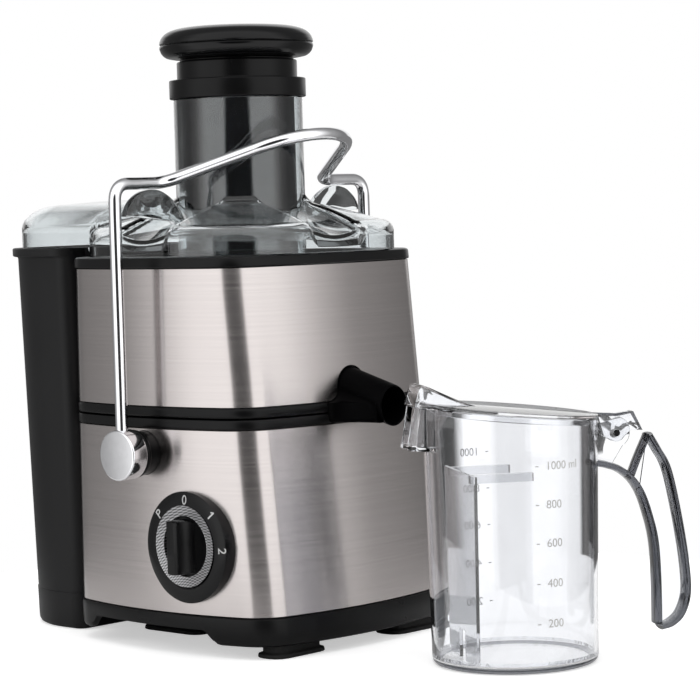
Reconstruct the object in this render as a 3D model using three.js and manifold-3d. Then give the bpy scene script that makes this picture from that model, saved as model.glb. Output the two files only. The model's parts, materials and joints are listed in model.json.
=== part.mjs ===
// Centrifugal juicer with pulp container and juice jug, as an assembly of separate pieces.
// Millimetres, +Z up. The machine is drawn about its feed tube axis with the counter at z = 0;
// +X points to the spout, -X to the pulp container and -Y to the control dial.
import * as THREE from 'three';
import { mergeVertices } from 'three/addons/utils/BufferGeometryUtils.js';
import Module from 'manifold-3d';

const wasm = await Module();
wasm.setup();

// ---------------------------------------------------------------- driving dimensions

const FIT = 0.3;                  // gap between pieces that seat on each other
const RUNNING = 0.3;              // radial gap of a turning or sliding fit

// Housing: a tapered cushion-shaped column, wider at its base and leaning in at the front
const BASE_HALF_X = 100;
const BASE_HALF_Y = 98.5;
const BASE_CENTRE_X = 8;
const TOP_HALF_X = 88.4;
const SIDE_LEAN = 2.2;            // how far each side leans in towards the top
const TOP_HALF_Y = BASE_HALF_Y - SIDE_LEAN;
const SIDE_RADIUS = 290;          // bulge of each side
const CORNER_RADIUS = 29;
const SKIRT_BOTTOM = 8;
const STEEL_FROM = 26;
const SEAM_Z = 149.6;             // the bowl unit lifts off the motor base here
const STEEL_TO = 244;
const TRIM_HEIGHT = 6.8;
const RIM_HEIGHT = 7;
const RIM_OVERHANG = 1;
const STEEL_SHEET = 1;
const SHELL_WALL = 2.4;
const SKIRT_WALL = 3;
const SKIRT_CUT_FROM = -50;
const SKIRT_CUT_TO = 54;
const SKIRT_CUT_TOP = 17;
const FLOOR_PLATE = 2.5;
const FLOOR_PLATE_Z = 18;

// Feet: two pads along the front edge and two under the middle
const FOOT_HEIGHT = 7.7;
const FOOT_LIP = 2.4;
const FOOT_NECK = 3;              // how far the neck stands in from the pad's lip
const FRONT_FOOT = { x: BASE_CENTRE_X + BASE_HALF_X - 20, y: BASE_HALF_Y - 43.5, halfX: 12, halfY: 24 };
const REAR_FOOT = { x: BASE_CENTRE_X - 46, y: BASE_HALF_Y - 66.5, halfX: 28, halfY: 11 };

// Motor
const SHAFT_RADIUS = 4;
const SHAFT_BOTTOM = 40;
const STATOR_RADIUS = 40;
const STATOR_BORE = 24;
const STATOR_FROM = 68;
const STATOR_TO = 108;
const AIR_GAP = 0.6;
const END_FRAME_WALL = 3;
const END_FRAME_FLOOR = 4;
const LOWER_FRAME_DEPTH = 14;
const BEARING_RADIUS = 11;
const BEARING_HEIGHT = 7;
const FAN_RADIUS = 32;
const FAN_HEIGHT = 9;
const FAN_BLADES = 9;
const COUPLING_RADIUS = 13;
const COUPLING_TEETH = 6;
const DECK_HOLE_RADIUS = 17;

// Juice bowl and spout
const SKIN = STEEL_SHEET + FIT;                 // the plastic shell starts behind the sheet
const SHELL_INSIDE = SKIN + SHELL_WALL;
const BOWL_WALL = 2;
const BOWL_MARGIN = 1.7;
const BOWL_RADIUS = Math.min(TOP_HALF_X, TOP_HALF_Y) - SHELL_INSIDE - BOWL_MARGIN - BOWL_WALL;
const BOWL_FLOOR_Z = 157;
const BOWL_COLLAR_RADIUS = 20;
const BOWL_COLLAR_HEIGHT = 14;
const SPOUT_RADIUS = 11.3;
const SPOUT_WALL = 1.7;
const SPOUT_REACH = 50;           // mouth beyond the bowl's inside
const SPOUT_MOUTH_Z = 153.6;
const SPOUT_SLOPE_DEG = 16;
const PROW_HALF_WIDTH = 24;        // swelling of the trim under the spout
const PROW_SHORT = 13;             // it ends this far behind the mouth

// Filter basket and grater
const BASKET_LIFT = 19;           // basket floor above the bowl's floor
const BASKET_FLOOR_RADIUS = 50;
const BASKET_RIM_WIDTH = 3;
const BASKET_CLEARANCE = 2.7;     // between the basket's rim and the bowl
const BASKET_SINK = 4;            // basket top below the steel's top edge
const BASKET_SHEET = 1.2;
const BASKET_SLOTS = 12;
const BASKET_SLOT = 3;
const BASKET_RIM_HEIGHT = 5;
const GRATER_RADIUS = 43;
const GRATER_SHEET = 1.2;
const GRATER_TOOTH = 1.6;
const GRATER_ROWS = 4;
const NUT_RADIUS = 9;
const NUT_HEIGHT = 4;

// Lid and feed tube
const TUBE_RADIUS = 42.5;
const TUBE_WALL = 2.5;
const TUBE_TOP = STEEL_TO + 108.4;
const TUBE_LENGTH = 162.4;
const LID_WALL = 2.5;
const LID_FLANGE = 2.7;
const LID_HALF_X = TOP_HALF_X - 0.4;
const LID_HALF_Y = TOP_HALF_Y - 3.8;
const LID_CORNER_RADIUS = 64;
const LID_WALL_TOP = STEEL_TO + 18;
const LID_SHOULDER_Z = STEEL_TO + 26.5;
const LID_DOME_TOP = STEEL_TO + 39.5;
const LID_SCOOP_DEG = 38;
const LID_SCOOP_FOOT_Z = STEEL_TO + 13;
const DUCT_TOP = STEEL_TO + 40;
const DUCT_SHORT = 3.5;           // duct's end inside the container's far wall
const DUCT_HALF_WIDTH = 69;
const DUCT_CORNER_RADIUS = 50;
const DUCT_EDGE_HEIGHT = 14;
const DUCT_EDGE_WIDTH = 24;
const FIN_THICKNESS = 3;
const FIN_RADIUS = 23.7;
const FIN_Y = 82;

// Locking arm
const ROD_RADIUS = 4;
const PIVOT_X = 4;
const PIVOT_Z = 127;
const CAP_OPEN = BASE_HALF_Y + 10.5;      // |y| of the cap's open end
const CAP_DEPTH = 12.5;
const CAP_FLOOR = 1.5;
const LEG_IN_CAP = 7;             // leg centre line beyond the cap's open end
const ARM_TOP_Z = STEEL_TO + 54;
const ARM_BEND_RADIUS = 11;
const LOOP_HALF_WIDTH = 73;
const LOOP_REACH = 80;
const LOOP_RISE_DEG = 21;
const LOOP_NOSE_RADIUS = 46;
const LOOP_BEND_RADIUS = 9;
const ROD_FOOT = 5;                // the rod stops this far above the pivot axis
const KNOB_RADIUS = 16;
const HUB_RADIUS = 10;
const HUB_STANDS_OUT = 0.7;       // hub beyond the cap's open end
const BOSS_RADIUS = 14;
const PIVOT_PIN_RADIUS = 4;

// Control dial
const DIAL_X = 40;
const DIAL_Z = 69.5;
const DIAL_RADIUS = 35.5;
const DIAL_STANDS_OUT = 0.9;       // beyond the face at its widest
const DIAL_NECK_LENGTH = 11;
const DIAL_NECK = 22;             // part of the bezel that passes through the wall
const DIAL_NECK_WALL = 2;
const KNURL_RADIUS = 26;
const KNURL_RIBS = 30;
const KNURL_RIB = 0.5;
const KNURL_WIDTH = 8;
const KNURL_STANDS_OUT = 2.3;     // ring in front of the bezel
const KNOB_PLATE = 5;
const KNOB_RAISED = 0.8;          // the knob's middle in front of its plate
const GRIP_WIDTH = 12.7;
const GRIP_HEIGHT = 9.7;
const SWITCH_SIZE = 34;
const SWITCH_DEPTH = 26;
const SWITCH_STEM_RADIUS = 3;

// Pusher
const PUSHER_CLEARANCE = 0.6;
const PUSHER_WALL = 2.5;
const PUSHER_LENGTH = 165.5;
const COLLAR_OVERHANG = 2.5;      // stop collar beyond the tube
const COLLAR_HEIGHT = 12.3;
const STEM_HEIGHT = 11.9;
const STEM_INSET = 0.5;
const CAP_NECK_RADIUS = 36;
const CAP_NECK_HEIGHT = 2;
const CAP_RADIUS = 50.7;
const CAP_BASE_HEIGHT = 9;
const CAP_TOP_HEIGHT = 12;

// Pulp container
const CONTAINER_GAP = 1.2;
const CONTAINER_DEPTH = 83.8;
const CONTAINER_HALF_WIDTH = 75;
const CONTAINER_OUTER_CORNER = 57;
const CONTAINER_INNER_CORNER = 10;
const CONTAINER_DRAFT = 5;
const CONTAINER_WALL = 2.5;
const CONTAINER_LIP = 3;
const CONTAINER_LIP_HEIGHT = 5.6;
const CONTAINER_TOP = STEEL_TO + RIM_HEIGHT + 6;
const CONTAINER_HOOK = 4.4;       // hook's tip inside the rim's edge
const CONTAINER_HOOK_HALF_WIDTH = 56;
const CONTAINER_FOOT_ROUND = 6;

// Jug
const JUG_X = 222;
const JUG_Y = 3;
const JUG_TURN_DEG = 55;          // how far the handle is swung round from +X
const JUG_BASE_RADIUS = 50.6;
const JUG_TOP_RADIUS = 53.4;
const JUG_WALL = 2.2;
const JUG_FLOOR = 3.5;
const JUG_RIM_Z = 152.6;          // at the jug's axis
const JUG_RIM_SLOPE_DEG = 5.6;    // the rim falls towards the handle
const LIP_REACH = 66.5;
const LIP_WIDTH = 30;
const LIP_DEPTH = 24.7;
const LIP_RAKE = 0.18;             // how fast the lip leans back towards its rim
const HANDLE_WIDTH = 16;
const HANDLE_RIB = 4.4;
const HANDLE_WEB = 2.4;
const JUG_LID_SHEET = 2.2;
const JUG_LID_SKIRT = 4;
const HOOD_RISE = 11.5;
const HOOD_PEAK = 60.5;           // how far out the hood's ridge is, and where its roof starts
const HOOD_START = 31;
const HINGE_OUT = 13.1;           // hinge beyond and below the rim
const HINGE_DOWN = 15.6;
const HANDLE_REACH = 43.5;        // grip beyond and below the hinge
const HANDLE_DROP = 121;
const HINGE_BOSS = 9.4;
const THUMB_RADIUS = 16.9;        // the thumb piece is an arc about the pin
const THUMB_DEPTH = 3.2;
const HINGE_PIN_RADIUS = 2.1;
const HINGE_GAP = 0.3;
const EAR_WIDTH = 3;
const SEPARATOR_SHEET = 2;
const SEPARATOR_U = -32;
const SEPARATOR_TOP = 118;
const SEPARATOR_BAR = 5;
const SEPARATOR_BAR_END = 6;

// Levels that follow from the sizes above
const BASKET_FLOOR_Z = BOWL_FLOOR_Z + BASKET_LIFT;
const BASKET_TOP_RADIUS = BOWL_RADIUS - BASKET_CLEARANCE - BASKET_RIM_WIDTH - FIT;
const BASKET_TOP_Z = STEEL_TO - BASKET_SINK;
const LEG_Y = CAP_OPEN + LEG_IN_CAP;
const CAP_FACE = CAP_OPEN + CAP_DEPTH;
const HUB_FROM = CAP_OPEN - HUB_STANDS_OUT;
const HUB_TO = CAP_FACE - CAP_FLOOR;
const DIAL_FRONT_Y = -(BASE_HALF_Y + DIAL_STANDS_OUT);
const DIAL_BACK_Y = DIAL_FRONT_Y + DIAL_NECK_LENGTH;
const KNURL_FRONT_Y = DIAL_FRONT_Y - KNURL_STANDS_OUT;
const GRIP_FRONT_Y = KNURL_FRONT_Y - GRIP_HEIGHT;
const CONTAINER_NEAR_X = -Math.max(TOP_HALF_X, BASE_HALF_X - BASE_CENTRE_X) - CONTAINER_GAP;
const CONTAINER_FAR_X = CONTAINER_NEAR_X - CONTAINER_DEPTH;
const CONTAINER_HOOK_X = CONTAINER_HOOK - TOP_HALF_X;
const DUCT_END_X = CONTAINER_FAR_X + DUCT_SHORT;
const HINGE_U = JUG_TOP_RADIUS + HINGE_OUT;
const HINGE_Z = JUG_RIM_Z - HINGE_DOWN;
const NUT_TOP = BASKET_FLOOR_Z + BASKET_SHEET + FIT + GRATER_SHEET + FIT + NUT_HEIGHT;
const SHAFT_TOP = NUT_TOP - 0.8;
const SPOUT_MOUTH_X = BOWL_RADIUS + SPOUT_REACH;
const TUBE_BOTTOM = TUBE_TOP - TUBE_LENGTH;
const PUSHER_RADIUS = TUBE_RADIUS - TUBE_WALL - PUSHER_CLEARANCE;
const COLLAR_RADIUS = TUBE_RADIUS + COLLAR_OVERHANG;
const COLLAR_FROM = TUBE_TOP + FIT;
const COLLAR_TO = COLLAR_FROM + COLLAR_HEIGHT;
const STEM_RADIUS = TUBE_RADIUS - TUBE_WALL - STEM_INSET;
const STEM_TO = COLLAR_TO + STEM_HEIGHT;
const CAP_FROM = STEM_TO + CAP_NECK_HEIGHT;
const CAP_SEAM = CAP_FROM + CAP_BASE_HEIGHT;
const CAP_TOP = CAP_SEAM + CAP_TOP_HEIGHT;
const PUSHER_BOTTOM = COLLAR_FROM - FIT - PUSHER_LENGTH;

// ---------------------------------------------------------------- finishes

const finishes = {
  steel: { color: 0xb9b3b2, roughness: 0.34, metalness: 1 },
  chrome: { color: 0xd8d8da, roughness: 0.07, metalness: 1 },
  black: { color: 0x17171a, roughness: 0.35, metalness: 0 },
  matte: { color: 0x1d1d1f, roughness: 0.6, metalness: 0 },
  smoke: { color: 0x9fb0ad, roughness: 0.08, metalness: 0, transparent: true, opacity: 0.4 },
  pusher: { color: 0x2b2f3a, roughness: 0.18, metalness: 0 },
  clear: { color: 0xc9d0dc, roughness: 0.05, metalness: 0, transparent: true, opacity: 0.35 },
  rubber: { color: 0x101010, roughness: 0.8, metalness: 0 },
  silver: { color: 0x8f9092, roughness: 0.35, metalness: 0.8 },
  copper: { color: 0x9a5a32, roughness: 0.45, metalness: 0.9 },
  iron: { color: 0x55575a, roughness: 0.5, metalness: 0.9 },
  alloy: { color: 0x9b9ea1, roughness: 0.4, metalness: 0.9 },
  white: { color: 0xd9d6cd, roughness: 0.5, metalness: 0 },
};

// ---------------------------------------------------------------- solid helpers

/** Merges shared points, drops collapsed faces and turns all faces outwards. */
function sealed(geometry) {
  const bare = geometry.clone();
  bare.deleteAttribute('normal');
  bare.deleteAttribute('uv');
  bare.clearGroups();
  const merged = mergeVertices(bare, 1e-4);
  const at = merged.getAttribute('position');
  const faces = [];
  let volume = 0;
  const a = new THREE.Vector3();
  const b = new THREE.Vector3();
  const c = new THREE.Vector3();
  for (let i = 0; i < merged.index.count; i += 3) {
    const [p, q, r] = [0, 1, 2].map((k) => merged.index.getX(i + k));
    if (p === q || q === r || r === p) continue;
    faces.push([p, q, r]);
    a.fromBufferAttribute(at, p);
    b.fromBufferAttribute(at, q);
    c.fromBufferAttribute(at, r);
    volume += a.dot(b.cross(c));
  }
  const order = volume < 0 ? faces.map(([p, q, r]) => [p, r, q]) : faces;
  merged.setIndex(order.flat());
  return merged;
}

/** Turns a closed geometry into a solid that can be cut and joined. */
function solid(geometry) {
  const shell = sealed(geometry);
  return new wasm.Manifold(new wasm.Mesh({
    numProp: 3,
    vertProperties: new Float32Array(shell.getAttribute('position').array),
    triVerts: new Uint32Array(shell.index.array),
  }));
}

/** Turns a cut solid back into a geometry. */
function geometryOf(body) {
  const mesh = body.getMesh();
  const geometry = new THREE.BufferGeometry();
  geometry.setAttribute('position', new THREE.Float32BufferAttribute(mesh.vertProperties, 3));
  geometry.setIndex(Array.from(mesh.triVerts));
  return geometry;
}

const join = (first, ...rest) => rest.reduce((sum, next) => sum.add(next), first);
const cut = (first, ...rest) => rest.reduce((left, next) => left.subtract(next), first);

/** A skin over rings of equal point count; open stacks get end caps, closed ones meet their start. */
function loft(rings, closed = false) {
  const count = rings[0].length;
  const points = rings.flat();
  const index = [];
  const spans = closed ? rings.length : rings.length - 1;
  for (let i = 0; i < spans; i += 1) {
    const low = i * count;
    const high = ((i + 1) % rings.length) * count;
    const rising = points[high].z >= points[low].z;
    for (let j = 0; j < count; j += 1) {
      const k = (j + 1) % count;
      if (rising) index.push(low + j, low + k, high + k, low + j, high + k, high + j);
      else index.push(low + j, low + k, high + j, low + k, high + k, high + j);
    }
  }
  if (!closed) {
    [[0, true], [rings.length - 1, false]].forEach(([ring, down]) => {
      const middle = new THREE.Vector3();
      rings[ring].forEach((point) => middle.addScaledVector(point, 1 / count));
      const hub = points.push(middle) - 1;
      for (let j = 0; j < count; j += 1) {
        const here = ring * count + j;
        const next = ring * count + ((j + 1) % count);
        index.push(hub, down ? next : here, down ? here : next);
      }
    });
  }
  const geometry = new THREE.BufferGeometry().setFromPoints(points);
  geometry.setIndex(index);
  return geometry;
}

/** A turned piece about Z from [radius, z] pairs that start and end on the axis or close up. */
function turned(profile, segments = 28) {
  const points = profile.map(([radius, z]) => new THREE.Vector2(radius, z));
  return new THREE.LatheGeometry(points, segments).rotateX(Math.PI / 2);
}

/** A turned ring whose profile closes on itself. */
const turnedRing = (profile, segments) => turned([...profile, profile[0]], segments);

/** A plain disc or rod about Z. */
function rod(radius, from, to, segments = 24) {
  return turned([[0, from], [radius, from], [radius, to], [0, to]], segments);
}

/** A plain ring about Z. */
function ring(inner, outer, from, to, segments = 24) {
  return turnedRing([[inner, from], [outer, from], [outer, to], [inner, to]], segments);
}

/** A straight prism of an outline in the XY plane. */
function prism(shape, from, to) {
  const geometry = new THREE.ExtrudeGeometry(shape, { depth: to - from, bevelEnabled: false });
  return geometry.translate(0, 0, from);
}

function shapeOf(points) {
  return new THREE.Shape(points.map(([x, y]) => new THREE.Vector2(x, y)));
}

function box(fromX, toX, fromY, toY, fromZ, toZ) {
  const size = new THREE.BoxGeometry(toX - fromX, toY - fromY, toZ - fromZ);
  return size.translate((fromX + toX) / 2, (fromY + toY) / 2, (fromZ + toZ) / 2);
}

/** Lays a piece drawn about Z along Y: its +Z end comes to face -Y. */
const facingFront = (geometry) => geometry.rotateX(Math.PI / 2);

/** Lays a piece drawn about Z along Y: its +Z end comes to face +Y or -Y. */
const towards = (side, geometry) => facingFront(geometry).rotateZ(side > 0 ? Math.PI : 0);

const radians = THREE.MathUtils.degToRad;
const lerp = THREE.MathUtils.lerp;

// ---------------------------------------------------------------- housing outline

const QUADRANT_DEG = [0, 18, 33, 39.5, 43.5, 47.5, 52, 58, 73];
const AROUND = [0, 90, 180, 270].flatMap((start) => QUADRANT_DEG.map((angle) => radians(start + angle)));

/** Distance from the centre to a cushion outline with bulged sides and round corners. */
function cushionReach(angle, halfX, halfY, sideRadius, cornerRadius) {
  const c = Math.abs(Math.cos(angle));
  const s = Math.abs(Math.sin(angle));
  const p = halfX - sideRadius;
  const q = halfY - sideRadius;
  const apart = Math.hypot(p, q);
  const drop = Math.sqrt((sideRadius - cornerRadius) ** 2 - (apart / 2) ** 2);
  const kx = p / 2 - (drop * q) / apart;
  const ky = q / 2 - (drop * p) / apart;
  const reachX = Math.hypot(kx - p, ky);
  const reachY = Math.hypot(kx, ky - q);
  const fromX = Math.atan2(ky + (cornerRadius * ky) / reachX, kx + (cornerRadius * (kx - p)) / reachX);
  const toY = Math.atan2(ky + (cornerRadius * (ky - q)) / reachY, kx + (cornerRadius * kx) / reachY);
  const turn = Math.atan2(s, c);
  const hit = (x, y, radius) => {
    const along = c * x + s * y;
    return along + Math.sqrt(along ** 2 - x ** 2 - y ** 2 + radius ** 2);
  };
  if (turn < fromX) return hit(p, 0, sideRadius);
  if (turn > toY) return hit(0, q, sideRadius);
  return hit(kx, ky, cornerRadius);
}

function cushionRing(z, centreX, halfX, halfY, sideRadius, cornerRadius, inset) {
  return AROUND.map((angle) => {
    const reach = cushionReach(angle, halfX - inset, halfY - inset, sideRadius - inset, cornerRadius - inset);
    return new THREE.Vector3(centreX + reach * Math.cos(angle), reach * Math.sin(angle), z);
  });
}

/** The housing's outline at one height, drawn in by an inset. */
function housingRing(z, inset = 0) {
  const up = (z - STEEL_FROM) / (STEEL_TO - STEEL_FROM);
  return cushionRing(z, lerp(BASE_CENTRE_X, 0, up), lerp(BASE_HALF_X, TOP_HALF_X, up),
    lerp(BASE_HALF_Y, TOP_HALF_Y, up), SIDE_RADIUS, CORNER_RADIUS, inset);
}

function circleRing(z, radius, centreX = 0) {
  return AROUND.map((angle) => new THREE.Vector3(
    centreX + radius * Math.cos(angle), radius * Math.sin(angle), z));
}

/** Where the housing's side face stands at a height, on the -Y side. */
function housingFrontY(x, z) {
  const up = (z - STEEL_FROM) / (STEEL_TO - STEEL_FROM);
  const across = x - lerp(BASE_CENTRE_X, 0, up);
  const sag = SIDE_RADIUS - Math.sqrt(SIDE_RADIUS ** 2 - across ** 2);
  return -(lerp(BASE_HALF_Y, TOP_HALF_Y, up) - sag);
}

/** An outline in X-Z swept along Y, for cuts through the front and back walls. */
function throughY(shape, fromY, toY) {
  return prism(shape, -toY, -fromY).rotateX(Math.PI / 2);
}

// ---------------------------------------------------------------- motor base

const DECK_TOP = SEAM_Z - FIT;
const DECK_BOTTOM = DECK_TOP - 3;

function baseSkirt() {
  const wall = solid(loft([
    housingRing(SKIRT_BOTTOM, 1.5), housingRing(SKIRT_BOTTOM + 3, -0.4), housingRing(STEEL_FROM - FIT, -0.8),
    housingRing(STEEL_FROM - FIT, SKIRT_WALL), housingRing(SKIRT_BOTTOM, SKIRT_WALL + 1.5),
  ], true));
  const slope = SKIRT_CUT_TOP - SKIRT_BOTTOM;
  const notch = shapeOf([[SKIRT_CUT_FROM - slope, 0], [SKIRT_CUT_TO + slope, 0],
    [SKIRT_CUT_TO + 2, SKIRT_CUT_TOP - 3], [SKIRT_CUT_TO - 4, SKIRT_CUT_TOP],
    [SKIRT_CUT_FROM + 4, SKIRT_CUT_TOP], [SKIRT_CUT_FROM - 2, SKIRT_CUT_TOP - 3]]);
  return geometryOf(cut(wall, solid(throughY(notch, -BASE_HALF_Y - 10, BASE_HALF_Y + 10))));
}

const FEET = [FRONT_FOOT, REAR_FOOT].flatMap((foot) => [-1, 1].map((side) => ({ ...foot, y: side * foot.y })));

/** Rounded-rectangle ring about a foot's middle. */
function padRing(foot, z, inset) {
  const halfX = foot.halfX - inset;
  const halfY = foot.halfY - inset;
  const round = Math.min(halfX, halfY) * 0.8;
  const corners = [[1, 1, 0], [-1, 1, 90], [-1, -1, 180], [1, -1, 270]];
  return corners.flatMap(([sx, sy, start]) => [0, 30, 60, 90].map((step) => new THREE.Vector3(
    foot.x + sx * (halfX - round) + round * Math.cos(radians(start + step)),
    foot.y + sy * (halfY - round) + round * Math.sin(radians(start + step)), z)));
}

function footPad(foot) {
  return loft([padRing(foot, 0, 0.8), padRing(foot, 0.8, 0), padRing(foot, FOOT_LIP, 0.4),
    padRing(foot, FOOT_LIP + 1, FOOT_NECK), padRing(foot, FOOT_HEIGHT, FOOT_NECK)]);
}

function bottomPlate() {
  const inset = SKIRT_WALL + 1.5 + FIT;
  const plate = solid(loft([housingRing(FLOOR_PLATE_Z, inset), housingRing(FLOOR_PLATE_Z + FLOOR_PLATE, inset)]));
  const bosses = FEET.map((foot) => solid(loft([
    padRing(foot, FOOT_HEIGHT + FIT, FOOT_NECK + 2), padRing(foot, FLOOR_PLATE_Z + 1, FOOT_NECK + 2)])));
  const vents = [-2, -1, 0, 1, 2].map((step) => solid(
    box(-2, 50, step * 9 - 2, step * 9 + 2, FLOOR_PLATE_Z - 1, FLOOR_PLATE_Z + FLOOR_PLATE + 1)));
  return geometryOf(cut(join(plate, ...bosses), ...vents));
}

/** Black shell of the motor base: side walls, seam trim and the deck that the bowl stands on. */
function motorHousing() {
  const trimFrom = SEAM_Z - TRIM_HEIGHT;
  const shell = solid(loft([
    housingRing(FLOOR_PLATE_Z + FLOOR_PLATE + FIT, SKIN + 2.2), housingRing(STEEL_FROM, SKIN + 2.2),
    housingRing(STEEL_FROM, SKIN), housingRing(trimFrom, SKIN), housingRing(trimFrom, 0),
    housingRing(DECK_TOP, 0), circleRing(DECK_TOP, DECK_HOLE_RADIUS), circleRing(DECK_BOTTOM, DECK_HOLE_RADIUS),
    housingRing(DECK_BOTTOM, SHELL_INSIDE), housingRing(STEEL_FROM + 4, SHELL_INSIDE),
    housingRing(FLOOR_PLATE_Z + FLOOR_PLATE + FIT, SKIN + 2.2 + SHELL_WALL),
  ], true));
  return geometryOf(cut(shell, ...pivotBores(PIVOT_PIN_RADIUS + FIT), solid(dialBore(DIAL_NECK + FIT))));
}

function pivotBores(radius) {
  return [-1, 1].map((side) => solid(towards(side, rod(radius, BASE_HALF_Y / 2, 2 * BASE_HALF_Y)).translate(PIVOT_X, 0, PIVOT_Z)));
}

function dialBore(radius) {
  return facingFront(rod(radius, BASE_HALF_Y / 2, 2 * BASE_HALF_Y, 32)).translate(DIAL_X, 0, DIAL_Z);
}

/** One brushed sheet wrapped round the housing between two heights. */
function steelBand(from, to) {
  return solid(loft([housingRing(from, 0), housingRing(to, 0),
    housingRing(to, STEEL_SHEET), housingRing(from, STEEL_SHEET)], true));
}

function lowerSteelBand() {
  const band = steelBand(STEEL_FROM + FIT, SEAM_Z - TRIM_HEIGHT - FIT);
  return geometryOf(cut(band, ...pivotBores(BOSS_RADIUS + FIT), solid(dialBore(DIAL_NECK + FIT))));
}

function pivotBoss() {
  const back = -housingFrontY(PIVOT_X, PIVOT_Z) - SKIN + FIT;
  const front = HUB_FROM - FIT;
  const bore = PIVOT_PIN_RADIUS + FIT;
  return turnedRing([[bore, back], [BOSS_RADIUS, back], [BOSS_RADIUS, front - 3],
    [BOSS_RADIUS + 1.2, front - 2.6], [BOSS_RADIUS + 1.2, front], [bore, front]], 24);
}

function pivotPin() {
  const wall = -housingFrontY(PIVOT_X, PIVOT_Z) - SHELL_INSIDE;
  return turned([[0, wall - 8], [PIVOT_PIN_RADIUS + 4, wall - 8], [PIVOT_PIN_RADIUS + 4, wall - 2],
    [PIVOT_PIN_RADIUS, wall - 2], [PIVOT_PIN_RADIUS, HUB_TO - 2], [0, HUB_TO - 2]], 16);
}

// ---------------------------------------------------------------- control dial

/** Bezel: a drum that meets the curved face all round, with a neck through the wall. */
function dialBezel() {
  const front = -DIAL_FRONT_Y;
  const inside = DIAL_NECK - DIAL_NECK_WALL;
  const drum = solid(towards(-1, turnedRing([[inside, 80], [DIAL_RADIUS, 80], [DIAL_RADIUS, front - 0.6],
    [DIAL_RADIUS - 0.6, front], [inside, front]], 36)).translate(DIAL_X, 0, DIAL_Z));
  const face = solid(loft([housingRing(STEEL_FROM, -FIT), housingRing(SEAM_Z, -FIT)]));
  const neck = solid(towards(-1, ring(inside, DIAL_NECK, -DIAL_BACK_Y, front - 0.4, 28)).translate(DIAL_X, 0, DIAL_Z));
  return geometryOf(join(cut(drum, face), neck)).translate(-DIAL_X, 0, -DIAL_Z).rotateX(-Math.PI / 2);
}

/** Finely ribbed ring that stands on the bezel round the knob. */
function dialRing() {
  const outline = [];
  for (let i = 0; i < KNURL_RIBS * 2; i += 1) {
    const angle = (i / (KNURL_RIBS * 2)) * Math.PI * 2;
    const reach = KNURL_RADIUS - (i % 2 ? KNURL_RIB : 0);
    outline.push([reach * Math.cos(angle), reach * Math.sin(angle)]);
  }
  const shape = shapeOf(outline);
  shape.holes.push(new THREE.Path().absarc(0, 0, KNURL_RADIUS - KNURL_WIDTH, 0, Math.PI * 2, true));
  const depth = KNURL_STANDS_OUT - FIT;
  return new THREE.ExtrudeGeometry(shape, { depth, bevelEnabled: false, curveSegments: 24 })
    .translate(0, 0, -KNURL_FRONT_Y - depth);
}

/** Black knob: a round plate behind the ring, its raised middle and a standing grip bar. */
function dialKnob() {
  const plateFront = -DIAL_FRONT_Y;
  const raised = plateFront + KNOB_RAISED;
  const radius = DIAL_NECK - DIAL_NECK_WALL - RUNNING;
  const middle = KNURL_RADIUS - KNURL_WIDTH - RUNNING;
  const plate = solid(turned([[0, plateFront - KNOB_PLATE], [radius, plateFront - KNOB_PLATE], [radius, plateFront],
    [middle, plateFront], [middle, raised], [0, raised]], 28));
  const half = GRIP_WIDTH / 2;
  const reach = middle - 0.3;
  const edge = Math.sqrt(reach ** 2 - half ** 2);
  const bar = new THREE.Shape();
  bar.moveTo(-half, -edge).quadraticCurveTo(0, edge - 2 * reach, half, -edge);
  bar.lineTo(half, edge).quadraticCurveTo(0, 2 * reach - edge, -half, edge);
  const grip = new THREE.ExtrudeGeometry(bar, {
    depth: -GRIP_FRONT_Y - raised, bevelEnabled: true, bevelThickness: 1.2, bevelSize: 1.2,
    bevelOffset: -1.2, bevelSegments: 1, curveSegments: 4,
  }).translate(0, 0, raised - 1.2);
  const socket = solid(rod(SWITCH_STEM_RADIUS + FIT, 60, plateFront - 1, 20));
  return geometryOf(cut(join(plate, solid(grip)), socket));
}

function switchBody() {
  const front = -DIAL_BACK_Y - FIT - 2;
  const half = SWITCH_SIZE / 2;
  const can = solid(box(-half, half, -half, half, front - SWITCH_DEPTH, front));
  const neck = solid(rod(DIAL_NECK - DIAL_NECK_WALL - FIT, front - 1, -DIAL_FRONT_Y - KNOB_PLATE - FIT, 28));
  const bore = solid(rod(SWITCH_STEM_RADIUS + FIT, front - SWITCH_DEPTH + 4, 130, 16));
  return geometryOf(cut(join(can, neck), bore));
}

function switchStem() {
  const tip = -DIAL_FRONT_Y - 1 - FIT;
  return rod(SWITCH_STEM_RADIUS, -DIAL_BACK_Y - SWITCH_DEPTH + 2.5, tip, 16);
}

// ---------------------------------------------------------------- motor and rotor

function lowerEndFrame() {
  const top = STATOR_FROM - FIT;
  const hub = BEARING_RADIUS + 3;
  return turnedRing([
    [SHAFT_RADIUS + 1, top - LOWER_FRAME_DEPTH], [STATOR_RADIUS, top - LOWER_FRAME_DEPTH], [STATOR_RADIUS, top],
    [STATOR_RADIUS - END_FRAME_WALL, top], [STATOR_RADIUS - END_FRAME_WALL, top - LOWER_FRAME_DEPTH + END_FRAME_FLOOR],
    [hub, top - LOWER_FRAME_DEPTH + END_FRAME_FLOOR], [hub, top - LOWER_FRAME_DEPTH + END_FRAME_FLOOR + 5],
    [BEARING_RADIUS + FIT, top - LOWER_FRAME_DEPTH + END_FRAME_FLOOR + 5],
    [BEARING_RADIUS + FIT, top - LOWER_FRAME_DEPTH + 2], [SHAFT_RADIUS + 1, top - LOWER_FRAME_DEPTH + 2],
  ], 24);
}

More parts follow.
